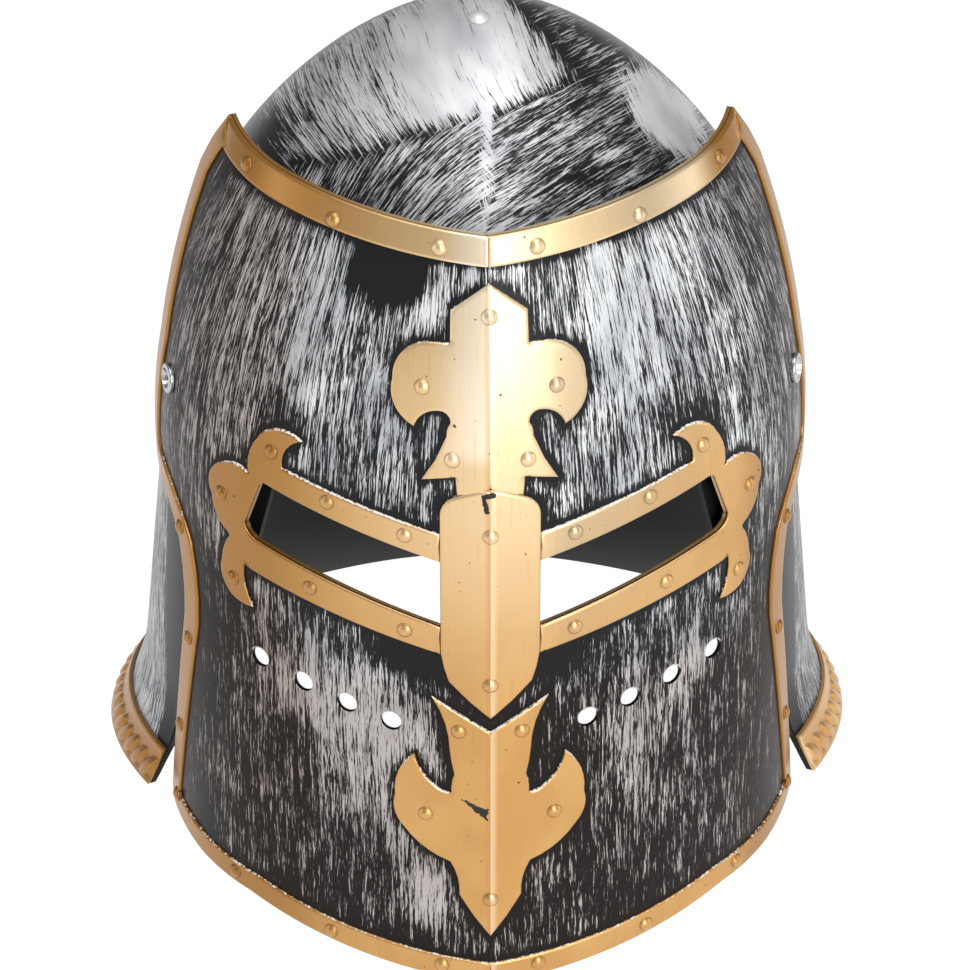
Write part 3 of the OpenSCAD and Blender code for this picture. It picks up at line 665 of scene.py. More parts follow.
def beaded_band(name, per_bead=12):
    """The rim's band: a plain upper strip, a row of long slanted beads and a rounded outer lip"""
    cols = BEAD_COUNT * per_bead
    angles = np.linspace(CORNER_ANGLE, 360 - CORNER_ANGLE, cols + 1)
    rim = rim_z(np.minimum(angles, 360 - angles))
    rows = 26
    verts, lifts, heights = [], [], []
    phase = np.linspace(0, BEAD_COUNT, cols + 1)
    for i in range(rows + 1):
        h = BAND_H * i / rows
        lean = np.where(angles < 180, 1, -1) * BEAD_LEAN * (h - 0.0056) / 0.0038
        u = (phase + lean) % 1 - 0.5
        bead = np.sqrt(np.clip(1 - (u / BEAD_HALF_W) ** 2 - ((h - BEAD_MID) / BEAD_HALF_H) ** 2, 0, 1))
        lip = 0.16 * math.sqrt(max(0, 1 - ((h - LIP_H) / LIP_H) ** 2))
        top = 0.2 * math.sqrt(max(0, 1 - ((h - EDGE_MID) / EDGE_HALF) ** 2))
        rise = BAND_T + BEAD_RISE * np.clip(bead, lip, 1) + BEAD_RISE * top
        round_off = 0.6 * (1 - math.sqrt(1 - max(0, 1 - h / ROUND_H) ** 2)) if h < ROUND_H else 0
        verts.append(skull_points(angles, rim + h, -SEAT_GAP - rise * (1 - 0.5 * round_off)))
        lifts.append(np.clip(bead, 0, 1))
        heights.append(0 * bead + h)
    for i in range(rows + 1):
        verts.append(skull_points(angles, rim + BAND_H * i / rows, -SEAT_GAP))
        lifts.append(0 * angles)
        heights.append(0 * angles - 1)
    lifts, heights = np.concatenate(lifts), np.concatenate(heights)
    along = np.tile(phase, 2 * (rows + 1)) * BEAD_STEP
    skin = np.stack([along, heights, lifts * BEAD_RISE], 1)
    near = np.minimum(heights, BAND_H - heights)
    return make_object(name, np.concatenate(verts), slab_faces(rows, cols), {
        "skin": skin, "near": near, "facing_up": 0 * near, "dark_wall": 0 * near})


# Padding: crowned cushions that lie against the inside of the skull
CLOTH_REACH, CLOTH_H = 0.08, 0.04   # the cloth's pattern over a pad's half width and its height
HEM_T = 0.0006


def curved_pad(name, angles, low, high, thick, channels):
    """A cushion over a patch of the skull, thickest in its middle, with sewn channels across it"""
    cols, rows = 96, 40
    p = np.linspace(-1, 1, cols + 1)
    inset = SKULL_WALL + SEAT_GAP
    verts = []
    for far in (0, 1):
        for j in range(rows + 1):
            q = -1 + 2 * j / rows
            swell = (1 - np.abs(p) ** 8) ** 0.5 * (1 - abs(q) ** 5) ** 0.5
            groove = np.abs(np.sin(math.pi * channels * (p + 1) / 2)) ** 0.45
            depth = thick * swell * (0.72 + 0.28 * groove)
            a = np.mod(mix(angles[0], angles[1], (p + 1) / 2) + 360, 360)
            z = mix(low, high, (q + 1) / 2) + 0 * a
            verts.append(skull_points(a, z, inset + depth * far + HEM_T * (1 - swell) * (1 - far)))
    along = np.tile(p, 2 * (rows + 1)) * CLOTH_REACH
    across = np.tile(np.repeat(np.linspace(0, CLOTH_H, rows + 1), cols + 1), 2)
    return make_object(name, np.concatenate(verts), slab_faces(rows, cols), {
        "skin": np.stack([along, across, 0 * along], 1)})


def crown_cushion(name):
    """A round tufted cushion in the tip of the crown"""
    low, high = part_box("crown_pad")[0].z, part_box("crown_pad")[1].z
    inset = SKULL_WALL + SEAT_GAP
    cols = 72
    a = np.arange(cols) * 360 / cols
    verts = []
    top_rows, low_rows = 14, 18
    for i in range(top_rows + 1):
        t = i / top_rows
        verts.append(skull_points(a, 0 * a + mix(high - 0.0005, low + 0.004, t), inset + 0.0004))
    ring = skull_points(a, 0 * a + low + 0.004, inset + 0.0004)
    centre = np.array([0, ring[:, 1].mean(), 0])
    for i in range(1, low_rows):
        t = 1 - i / low_rows
        swell = math.sqrt(max(0, 1 - t ** 5))
        tuft = 1 - math.exp(-((t / 0.16) ** 2))
        rows = centre + (ring - centre) * [t, t, 0]
        fold = 1 - 0.12 * np.abs(np.sin(np.radians(a) * 4)) ** 6 * (1 - t) ** 0.3
        rows[:, 2] = low + 0.004 - 0.0036 * swell * tuft * fold
        verts.append(rows)
    verts = np.concatenate(verts)
    total = len(verts) // cols
    verts = np.concatenate([verts, [[0, centre[1], low + 0.0036], [0, verts[:cols, 1].mean(), high]]])
    faces = [f[::-1] for f in dome_faces(0, total, cols)]
    return make_object(name, verts, faces, {"skin": verts})


# Materials
def srgb(r, g, b):
    """A colour given in screen values from 0 to 255"""
    line = [c / 255 for c in (r, g, b)]
    return (*[c / 12.92 if c < 0.04045 else ((c + 0.055) / 1.055) ** 2.4 for c in line], 1)


def put(tree, socket, value):
    """Links a worked-out value to a socket, or sets a plain one"""
    if isinstance(value, Value):
        tree.links.new(value.socket, socket)
    else:
        socket.default_value = value


def add_node(tree, kind, values=(), output=0, **settings):
    """A shader node with values for its inputs, and what one of its outputs gives"""
    n = tree.nodes.new(f"ShaderNode{kind}")
    for key, setting in settings.items():
        setattr(n, key, setting)
    for key, value in values:
        put(tree, n.inputs[key], value)
    return Value(tree, n.outputs[output])


class Value:
    """A number, vector, colour or shader worked out by nodes"""

    def __init__(self, tree, socket):
        self.tree, self.socket = tree, socket

    def calc(self, kind, *others):
        return add_node(self.tree, "Math", enumerate((self, *others)), operation=kind)

    def __add__(self, other):
        return self.calc("ADD", other)

    def __sub__(self, other):
        return self.calc("SUBTRACT", other)

    def __mul__(self, other):
        return self.calc("MULTIPLY", other)

    def either(self, other):
        """The larger of two numbers"""
        return self.calc("MAXIMUM", other)


class Finish:
    """A material with short calls for its nodes"""

    def __init__(self, name):
        self.material = bpy.data.materials.new(name)
        self.material.use_nodes = True
        self.tree = self.material.node_tree
        self.shader = self.tree.nodes["Principled BSDF"]

    def node(self, kind, values=(), output=0, **settings):
        return add_node(self.tree, kind, values, output, **settings)

    def set(self, name, value):
        put(self.tree, self.shader.inputs[name], value)

    def value(self, name):
        return self.node("Attribute", output="Fac", attribute_name=name)

    def vector(self, name):
        return self.node("Attribute", output="Vector", attribute_name=name)

    def place(self):
        return self.node("TexCoord", output="Object")

    def parts(self, vector):
        """A vector's first two numbers"""
        return [self.node("SeparateXYZ", [(0, vector)], k) for k in range(2)]

    def noise(self, vector, scale, seed, detail=2.0, roughness=0.5):
        shift = (seed, seed * 1.7, seed * 0.3)
        place = self.node("VectorMath", enumerate((vector, scale, shift)), operation="MULTIPLY_ADD")
        return self.node("TexNoise", [
            ("Vector", place), ("Scale", 1), ("Detail", detail), ("Roughness", roughness)])

    def span(self, value, low, high):
        """0 to 1 as a value goes from low to high, eased"""
        values = enumerate((value, low, high, 0, 1))
        return self.node("MapRange", values, interpolation_type="SMOOTHSTEP")

    def blend(self, factor, a, b):
        return self.node("Mix", [(0, factor), (6, a), (7, b)], 2, data_type="RGBA")

    def bump(self, height, distance, strength):
        values = [("Height", height), ("Distance", distance), ("Strength", strength)]
        self.set("Normal", self.node("Bump", values))


def streaks(f, flow, cover, seed):
    """How much silver a dry brush left: long thin strokes along the flow's second axis, in millimetres"""
    across, along = f.parts(flow)
    wander = f.noise(flow, (0.07, 0.02, 0), seed + 3)
    line = f.node("CombineXYZ", enumerate((wander * 4 + across, along)))
    total = cover + 0.2
    for scale, detail, weight, step in (
            ((1.5, 0.05, 0), 3, 2.5, 0), ((3.0, 0.2, 0), 2, 2.4, 11), ((0.4, 0.03, 0), 2, 0.8, 23),
            ((0.06, 0.045, 0), 2, 0.9, 31)):
        total = f.noise(line, scale, seed + step, detail, 0.66) * weight + total
    haze = f.span(total, 3.05, 4.1)
    return f.span(total, 3.48, 3.72) * 0.72 + haze * haze * 0.28


def dry_brushed(name, sets="ab"):
    """Black gloss paint with sets of silver strokes brushed thinly over it; both dim and turn browner with
    the tint-and-shade value, which is painted shade on the visor's far sides and bottom
    """
    f = Finish(name)
    silver = f.span(f.value("facing_up"), 0.2, 0.6) * f.span(f.value("near"), 0.0007, 0.0004)
    for k, letter in enumerate(sets):
        strokes = streaks(f, f.vector(f"flow_{letter}"), f.value(f"cover_{letter}"), 1 + 56 * k)
        silver = silver.either(strokes)
    cloud = f.noise(f.vector("flow_a"), (0.05, 0.03, 0), 90)
    # Painted shade on the visor: the black turns brown and the silver dims and browns towards the far sides
    # and the bottom; on the crown an even value gives a slight brown tint.
    warm = f.value("warm")
    black = f.blend(warm, srgb(30, 30, 32), srgb(27, 19, 14))
    bright = f.blend(f.span(cloud, 0.35, 0.65), srgb(184, 187, 192), srgb(228, 230, 232))
    bright = f.blend(warm, bright, srgb(176, 164, 158))
    f.set("Base Color", f.blend(silver, black, bright))
    f.set("Metallic", silver * 0.45)
    f.set("Specular IOR Level", 0.12)
    f.set("Roughness", silver * 0.14 + 0.3)
    f.bump(silver, 0.00005, 0.5)
    return f.material


def inner_black(name):
    """The unpainted inside: smooth dark plastic with faint moulding flow"""
    f = Finish(name)
    cloud = f.noise(f.place(), (18, 18, 9), 5, 3)
    f.set("Base Color", f.blend(f.span(cloud, 0.3, 0.7), srgb(9, 9, 6), srgb(17, 16, 12)))
    f.set("Roughness", 0.5)
    f.set("Specular IOR Level", 0.2)
    f.bump(f.noise(f.place(), (420, 420, 420), 6), 0.00002, 0.5)
    return f.material


def flake(f, skin, start, end, widths, ragged):
    """A spot where the gold has come off: a tapering stroke between two places given in millimetres"""
    s, z = f.parts(skin)
    jag = (f.noise(skin, (620, 620, 0), 41, 3, 0.7) - 0.5) * ragged
    x, y = s * 1000 - start[0] + jag, z * 1000 - start[1] + jag
    dx, dy = end[0] - start[0], end[1] - start[1]
    size = dx * dx + dy * dy
    t = (x * (dx / size) + y * (dy / size)).either(0).calc("MINIMUM", 1)
    off_x, off_y = x - t * dx, y - t * dy
    gap = (off_x * off_x + off_y * off_y).calc("SQRT")
    return f.span(gap - t * (widths[1] - widths[0]) - widths[0], 0.1, -0.1)


def gold_and_painted_light(f, skin):
    """Satin gold with painted light: a painted highlight where the front's light falls, painted shade that
    makes the far sides browner, and a painted shade and highlight either side of the keel
    """
    s, z = f.parts(skin)
    cloud = f.noise(skin, (45, 30, 0), 8)
    base = f.blend(f.span(cloud, 0.35, 0.65), srgb(200, 150, 84), srgb(210, 162, 96))
    # Painted highlight: a pale band down the middle of the front's upper part and a pale patch at the top
    # right, fading to a dimmer pale towards the right.
    off = s - 0.012
    front = (off * off * -340).calc("EXPONENT") * f.span(z, 0.1, 0.2)
    right_top_highlight = f.span(s, -0.01, 0.03) * f.span(z, 0.24, 0.262)
    dimmed_highlight = (f.span(s, 0.014, 0.026) * f.span(z, 0.238, 0.234)).either(f.span(s, 0.04, 0.07))
    pale = f.blend(dimmed_highlight, srgb(234, 204, 158), srgb(203, 181, 146))
    base = f.blend(front.either(right_top_highlight), base, pale)
    # Painted highlight: near-white cream on the upper fleur's left face beside the keel.
    left_face_highlight = f.span(s, -0.022, -0.002) * f.span(s, 0.001, -0.001) * f.span(z, 0.198, 0.206)
    base = f.blend(left_face_highlight * 0.8, base, srgb(255, 240, 214))
    # Painted shade: browner towards the far sides, which turn away from the light.
    far = f.span(s, -0.03, -0.085).either(f.span(s, 0.085, 0.11))
    base = f.blend(far, base, srgb(164, 114, 46))
    # Painted shade along the keel's left side and a painted highlight along its right side, for the ridge's
    # two faces.
    shade = f.span(s, -0.0024, -0.0002) * f.span(s, 0.0001, -0.0001)
    base = f.blend(shade * 0.5, base, srgb(196, 140, 78))
    light = f.span(s, 0.0028, 0.0004) * f.span(s, -0.0001, 0.0001)
    return f.blend(light * 0.5, base, srgb(250, 226, 186))


def gold_paint(name, flakes=()):
    """Satin gold with a painted highlight and painted shade: faint upright brushing, walls darkened by
    painted shade, and pale wear where an edge faces up
    """
    f = Finish(name)
    skin = f.vector("skin")
    lines = f.noise(skin, (1100, 45, 0), 3, 3, 0.6)
    base = f.blend(f.span(lines, 0.55, 0.8) * 0.25, gold_and_painted_light(f, skin), srgb(172, 116, 58))
    dots = f.noise(skin, (480, 480, 480), 29, 1)
    base = f.blend(f.span(dots, 0.76, 0.8), base, srgb(96, 66, 38))
    near, up = f.value("near"), f.value("facing_up")
    # Painted shade: walls (near below 0) turn dark brown, as far as each piece's wall-shade value says.
    wall = f.span(near, 0, -0.15)
    dark = wall * f.value("dark_wall")
    base = f.blend(dark, base, srgb(26, 18, 14))
    speck = f.noise(skin, (900, 900, 900), 17, 2, 0.7)
    edge = f.span(speck * 0.0016 + near, 0.0014, 0.001).either(wall)
    bare = edge * f.span(up * 0.22 + speck, 0.66, 0.72) * f.span(up, 0.05, 0.25)
    base = f.blend(bare, base, srgb(240, 238, 234))
    for start, end, widths, jagged in flakes:
        spot = flake(f, skin, start, end, widths, jagged)
        base = f.blend(spot, base, srgb(9, 6, 5))
        bare = bare.either(spot)
    plain = bare.either(dark)
    f.set("Base Color", base)
    f.set("Metallic", plain * -0.75 + 0.75)
    f.set("Roughness", lines * 0.14 + 0.3)
    f.set("Coat Weight", plain * -0.4 + 0.4)
    f.set("Coat Roughness", 0.24)
    f.bump(f.noise(skin, (1300, 1300, 1300), 4), 0.00002, 0.3)
    return f.material


def turned_metal(name, light, dark):
    """Bare metal with the rings of a lathe's tool"""
    f = Finish(name)
    rings = f.noise(f.place(), (300, 2600, 2600), 2)
    f.set("Base Color", f.blend(f.span(rings, 0.4, 0.7), light, dark))
    f.set("Metallic", 1)
    f.set("Roughness", rings * 0.25 + 0.15)
    f.bump(rings, 0.00002, 0.3)
    return f.material


def pad_cloth(name):
    """Dark woven cloth over foam"""
    f = Finish(name)
    skin = f.vector("skin")
    s, z = f.parts(skin)
    weave = (s * 5200).calc("SINE") * (z * 5200).calc("SINE")
    fuzz = f.noise(skin, (900, 900, 900), 7, 3)
    tint = f.blend(f.span(weave, -0.6, 0.6), srgb(44, 46, 48), srgb(66, 68, 70))
    f.set("Base Color", f.blend(f.span(fuzz, 0.4, 0.7), tint, srgb(58, 56, 52)))
    f.set("Roughness", 0.9)
    f.set("Sheen Weight", 0.35)
    f.set("Sheen Roughness", 0.5)
    f.bump(weave + fuzz, 0.00015, 0.7)
    return f.material


# Dry-brush touches: (across, up, half width, half height, tilt to the right, amount)
VISOR_TOUCHES = [
    (-36, 256, 13, 8, 0, -2.2), (-22, 250, 8, 9, 20, 0.35), (44, 240, 9, 34, -8, 0.3),
    (-62, 226, 18, 40, 16, 0.12), (-50, 104, 30, 18, 0, 0.5), (-34, 76, 24, 26, 0, 0.5),
    (-22, 34, 12, 12, 0, 0.4), (-16, 128, 22, 9, 0, -1.2), (22, 128, 14, 9, 0, -0.6),
    (50, 86, 8, 24, 0, 0.4), (72, 108, 8, 18, 0, 0.35), (-22, 45, 14, 26, 0, 0.15),
    (0, 262, 16, 5, 0, 0.5), (-30, 222, 14, 8, 30, 0.3), (74, 196, 14, 12, 0, -0.35),
    (-70, 204, 12, 7, 0, -0.4), (62, 250, 12, 24, 0, 0.12)]
BODY_TOUCHES = [(-6, 104, 26, 26, 0, 0.75), (-48, 88, 26, 22, 0, 0.1)]
CROWN_TOUCHES = [(-74, 80, 12, 14, 0, -0.8)]
SECOND_TURN = math.radians(32)      # the second strokes' lean


def touched(across, up, touches):
    """Sum of the touches at places given in millimetres"""
    total = np.zeros(len(across))
    for x, z, wide, tall, tilt, amount in touches:
        c, s = math.cos(math.radians(tilt)), math.sin(math.radians(tilt))
        dx, dz = across - x, up - z
        u, v = (dx * c - dz * s) / wide, (dx * s + dz * c) / tall
        total += amount * np.exp(-(u * u + v * v) ** 1.5)
    return total


def in_mm(skin):
    return skin[:, 0] / MM, skin[:, 1] / MM


def visor_flow(skin, near):
    s, z = in_mm(skin)
    gather = 1 - 1.25e-5 * np.clip(z - 150, 0, None) ** 2
    return np.stack([s / gather, z, 0 * s], 1)


def visor_flow_b(skin, near):
    s, z = in_mm(skin)
    c, w = math.cos(SECOND_TURN), math.sin(SECOND_TURN)
    return np.stack([s * c - z * w, s * w + z * c, 0 * s], 1)


def picture_plane(points):
    """Where points show in a view from the camera's height, across and up, and their own height"""
    back, up = points[:, 1] - PIVOT_Y, points[:, 2] - VIEW_TARGET.z
    v = math.sin(VIEW_ELEVATION) * back + math.cos(VIEW_ELEVATION) * up
    return points[:, 0] / MM, v / MM, points[:, 2] / MM


plate_loops = {}


def beside_nasal(points):
    """Numbers of the points that the nasal shield leaves free"""
    return [i for i, p in enumerate(points) if p[0] > NASAL_HALF_W + 1e-6]


def build_loops():
    top, side, low = border_loops()
    slit_points = dense(outline(SLIT))
    frame_points = dense(outline(EYE_FRAME))
    free = beside_nasal(slit_points)
    c_shape = frame_points[:beside_nasal(frame_points)[-1] + 2] + slit_points[free[0] - 1:free[-1] + 2][::-1]
    plate_loops.update(
        top_border=top, side_border=side, bottom_border=low, slit=front_points(slit_points),
        upper_fleur=front_loop(UPPER_FLEUR), nasal_shield=front_loop(NASAL),
        lower_fleur=front_loop(LOWER_FLEUR),
        eye_frame=front_points(c_shape, NASAL_HALF_W))


build_loops()


def left_side(skin):
    """Places on the skin, brought over to the wearer's left"""
    return np.stack([np.abs(skin[:, 0]), skin[:, 1]], 1)


def halo(skin):
    """Distance in millimetres to the nearest gold plate"""
    loops = [loop for name, loop in plate_loops.items() if name != "slit"]
    return distance(left_side(skin), loops, False) / MM


def visor_cover_a(skin, near):
    s, z = in_mm(skin)
    high = ease((z - 100) / 60)
    base = mix(-0.26, 0.0, high) + 0.08 * ease((s - 10) / 40) * ease((z - 160) / 30)
    edge = 0.2 * ease((np.abs(s) - 96) / 18)
    return base - edge + touched(s, z, VISOR_TOUCHES) - 1.2 * np.exp(-halo(skin) / 1.2)


def visor_cover_b(skin, near):
    s, z = in_mm(skin)
    local = np.exp(-(((s + 30) / 24) ** 2 + ((z - 224) / 16) ** 2))
    return -1.6 + 1.5 * local + touched(s, z, VISOR_TOUCHES[:1]) - 1.3 * np.exp(-halo(skin) / 1.5)


# Painted shade: darker and browner towards the far sides and the bottom, which turn away from the light.
def side_and_bottom_shade(skin, near):
    s, z = in_mm(skin)
    return np.clip(0.8 * ease((-s - 55) / 30) + 0.7 * ease((150 - z) / 50) + 0.5 * ease((s - 88) / 25), 0, 1)


def up_facing(loops, amount):
    """How far the nearest side of a plate's outline faces up, at points near its rim"""
    sides = [(p, q) for p, q in ends(loops) if p[2]]
    a = np.array([p[:2] for p, _ in sides])
    d = np.array([[q[0] - p[0], q[1] - p[1]] for p, q in sides])
    area = sum(p[0] * q[1] - q[0] * p[1] for p, q in ends(loops[:1]))
    turn = -1 if area > 0 else 1
    length = np.maximum(np.linalg.norm(d, axis=1), 1e-9)
    normal_z = turn * d[:, 0] / length

    def make(skin, near):
        flat = left_side(skin)
        value = np.zeros(len(flat))
        for i in np.nonzero(near < 0.001)[0]:
            t = np.clip(((flat[i] - a) * d).sum(1) / (length * length), 0, 1)
            gap = np.linalg.norm(flat[i] - a - t[:, None] * d, axis=1)
            if gap.min() < 0.0012:
                value[i] = max(0, normal_z[gap.argmin()]) * amount
        return value
    return make


def level(value):
    """The same value at every point"""
    return lambda skin, near: value + 0 * near


black_inside = inner_black("dark_inside")
brushed = dry_brushed("dry_brushed_silver")
brushed_crown = dry_brushed("dry_brushed_silver_crown", "abc")
gold = gold_paint("satin_gold")
NASAL_FLAKES = [((-2.4, 190.3), (1, 190.9), (0.7, 0.9), 1), ((-2.2, 190.2), (-1.1, 185.2), (0.7, 0.85), 1.2)]
FLEUR_FLAKES = [
    ((-9.3, 74.8), (-2.4, 70.2), (0.2, 1.5), 2.6), ((-1.9, 70.6), (-0.5, 72), (0.7, 0.3), 2.6),
    ((-2.2, 69.6), (-1.2, 67.6), (0.9, 0.5), 2.6)]
nasal_gold = gold_paint("satin_gold_chipped_at_the_top", NASAL_FLAKES)
fleur_gold = gold_paint("satin_gold_chipped_in_the_middle", FLEUR_FLAKES)
steel = turned_metal("turned_steel", srgb(196, 198, 200), srgb(150, 152, 156))
bronze = turned_metal("dark_bronze", srgb(74, 56, 44), srgb(44, 34, 28))
cloth = pad_cloth("pad_cloth")

BOTH, LEFT, RIGHT = (1, -1), (1,), (-1,)


def give(obj, body, slot, materials, *nodes):
    for m in materials:
        obj.data.materials.append(m)
    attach(obj, body)
    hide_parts(*nodes)


def make_visor_shell():
    pivot_s = s_from_side(0, PIVOT_Z)
    rim_loop = [(s, z, True) for s, z in to_skin(OUTER_ROW)]
    top_z, chin_z = rim_loop[0][1], rim_loop.pop()[1]
    keel = np.linspace(chin_z, top_z, round((top_z - chin_z) / LINE_STEP) + 1)[:-1]
    loops = [rim_loop + [(0.0, z, False) for z in keel], plate_loops["slit"]]
    loops += [round_loop(s_from_front(x * MM, z * MM), z * MM, BREATH_D) for x, z in BREATH_HOLES]
    loops.append(round_loop(pivot_s, PIVOT_Z, PIVOT_HOLE_D))
    obj = skin_piece("visor_painted", loops, 0, -VISOR_WALL, (0.0004, 0.0003), 0.0024, BOTH, {
        "flow_a": visor_flow, "flow_b": visor_flow_b, "cover_a": visor_cover_a, "cover_b": visor_cover_b,
        "warm": side_and_bottom_shade, "facing_up": up_facing(loops[2:-1], 1.0), "dark_wall": level(0)})
    give(obj, "visor", "visor_shell", [brushed, black_inside, gold], "visor_shell")
    base = obj.data.attributes["near"].data
    skin = obj.data.attributes["skin"].data
    rim = np.array([p[:2] for p in rim_loop + plate_loops["slit"]])
    for face in obj.data.polygons:
        low = [base[v].value < -0.5 for v in face.vertices]
        if not any(low):
            continue
        face.material_index = 1
        if not all(low):
            at = skin[face.vertices[0]].vector
            near_rim = np.hypot(rim[:, 0] - abs(at[0]), rim[:, 1] - at[1]).min() < 0.001
            face.material_index = 2 if near_rim else 1


def make_plate(name, node, sides, thick=PLATE_T, finish=None, wear=1.0, dark_wall=1.0):
    loops = [plate_loops[node]]
    facing = up_facing(loops, wear)

    def worn(skin, near):
        gap = distance(left_side(skin), [plate_loops["slit"]], False)
        return facing(skin, near) * ease((gap - 0.001) / 0.0004)
    # The wall-shade value sets how dark the gold paint makes this plate's walls, as painted shade.
    obj = skin_piece(name, loops, thick, 0, (0.0009, 0.0006), 0.003, sides, {
        "facing_up": worn, "dark_wall": level(dark_wall)})
    solid = node if len(sides) == 2 else f"{node}_{'left' if sides == LEFT else 'right'}"
    give(obj, "visor", "gold", [finish or gold], solid)


make_visor_shell()
make_plate("gold_top_border", "top_border", BOTH, wear=0, dark_wall=0)
make_plate("gold_bottom_border", "bottom_border", BOTH, wear=0.6, dark_wall=0.2)
make_plate("gold_upper_fleur", "upper_fleur", BOTH, wear=0.6)
make_plate("gold_nasal_shield", "nasal_shield", BOTH, NASAL_T, nasal_gold, 0.3)
make_plate("gold_lower_fleur", "lower_fleur", BOTH, finish=fleur_gold, wear=1.3)
for word, sides in (("left", LEFT), ("right", RIGHT)):
    make_plate(f"gold_side_border_{word}", "side_border", sides, wear=0.4, dark_wall=0.2)
    make_plate(f"gold_eye_frame_{word}", "eye_frame", sides)


def both(places):
    return [*places, *[(-x, z) for x, z in places]]


def make_rivets(node, places, out):
    give(rivet_set(f"domed_{node}", places, out), "visor", "gold", [gold], node)


make_rivets("top_border_rivets", both(TOP_RIVETS), PLATE_T)
make_rivets("bottom_border_rivets", both(BOTTOM_RIVETS + [MITRE_RIVET]), PLATE_T)
make_rivets("upper_fleur_rivets", both(UPPER_FLEUR_RIVETS) + [UPPER_KEEL_RIVET], PLATE_T)
make_rivets("nasal_rivets", NASAL_RIVETS, NASAL_T)
make_rivets("lower_fleur_rivets", both(LOWER_FLEUR_RIVETS) + [LOWER_KEEL_RIVET], PLATE_T)
for word, sign in (("left", 1), ("right", -1)):
    make_rivets(f"side_border_rivets_{word}", [(sign * x, z) for x, z in SIDE_RIVETS], PLATE_T)
    make_rivets(f"eye_frame_rivets_{word}", [(sign * x, z) for x, z in EYE_FRAME_RIVETS], PLATE_T)


def dome_paint(x, v):
    """Flow and cover of the crown's two sets of strokes, from the picture plane's millimetres"""
    fall = np.clip(110 - v, None, 50)
    sweep = np.stack([x + 0.2 * v - 0.00715 * fall * np.abs(fall), v, 0 * x], 1)
    fan = np.stack([0.5 * x - 0.01 * np.minimum(x, 0) ** 2 - 0.84 * v, 0.84 * x + 0.5 * v, 0 * x], 1)
    right_edge = 8 + (126 - v) * 0.77
    low_edge = np.interp(x, [-75, -38, -30, -5, 0, 4, 14, 26, 34], [70, 74, 78, 84, 88, 86, 90, 98, 96])
    body = ease((right_edge - x) / 12 + 0.6) * ease((v - low_edge) / 14 + 0.6)
    block = np.exp(-(((x - 61 - 0.3 * (88 - v)) / 13) ** 2 + ((v - 88) / 17) ** 2) ** 2)
    spine = np.exp(-((x - 1.2) / 1.3) ** 2) * ease((92 - v) / 8) * ease((v - 44) / 6)
    cover_a = -0.8 + body * (0.9 + touched(x, v, BODY_TOUCHES)) + 1.8 * block + 2.2 * spine
    cover_a = cover_a + touched(x, v, CROWN_TOUCHES)
    low_fan = ease((low_edge - v) / 14 + 0.6)
    band = np.exp(-((x - right_edge - 12) / 16) ** 2)
    cover_b = mix(-0.9, -0.08, low_fan) + 0.82 * band * (1 - low_fan) - 0.6 * body * (1 - low_fan)
    cover_b = cover_b + 0.25 * low_fan * np.exp(-((x - 2) / 12) ** 2) + 0.2 * low_fan * ease((54 - v) / 6)
    return sweep, fan, cover_a, cover_b


def make_skull():
    verts, faces, count = skull_dome()
    x, v, z = picture_plane(verts)
    low_part = ease((205 - z) / 30)
    back_part = ease(verts[:, 1] / 0.03)
    side_part = ease((np.abs(x) - 80) / 14)
    angle = np.arctan2(verts[:, 0], -(verts[:, 1] - PIVOT_Y - SKULL_BACK))
    flow_low = np.stack([np.degrees(angle) * 1.9, z, 0 * x], 1)
    sweep, fan, cover_a, cover_b = dome_paint(x, v)
    plain = np.maximum(np.maximum(low_part, back_part), side_part)
    hidden = ease((78 - np.abs(np.degrees(angle))) / 6) * ease((240 - z) / 12)

    def cover(dome, sides):
        return mix(mix(dome, sides, plain), -3, hidden)
    obj = make_object("skull_painted", verts, faces, {
        "flow_a": sweep, "flow_b": fan, "flow_c": flow_low,
        "cover_a": cover(cover_a, -1.5), "cover_b": cover(cover_b, -1.5),
        "cover_c": cover(-1.5, 0.18 - 0.18 * ease(x / 20)),
        "warm": 0.15 + 0 * x, "near": 1 + 0 * x, "facing_up": 0 * x})
    give(obj, "skull", "skull_shell", [brushed_crown, black_inside], "skull_shell")
    for face in obj.data.polygons:
        if any(count <= i < 2 * count or i == 2 * count + 1 for i in face.vertices):
            face.material_index = 1


make_skull()
give(beaded_band("gold_beaded_band"), "skull", "gold", [gold], "rim_band")


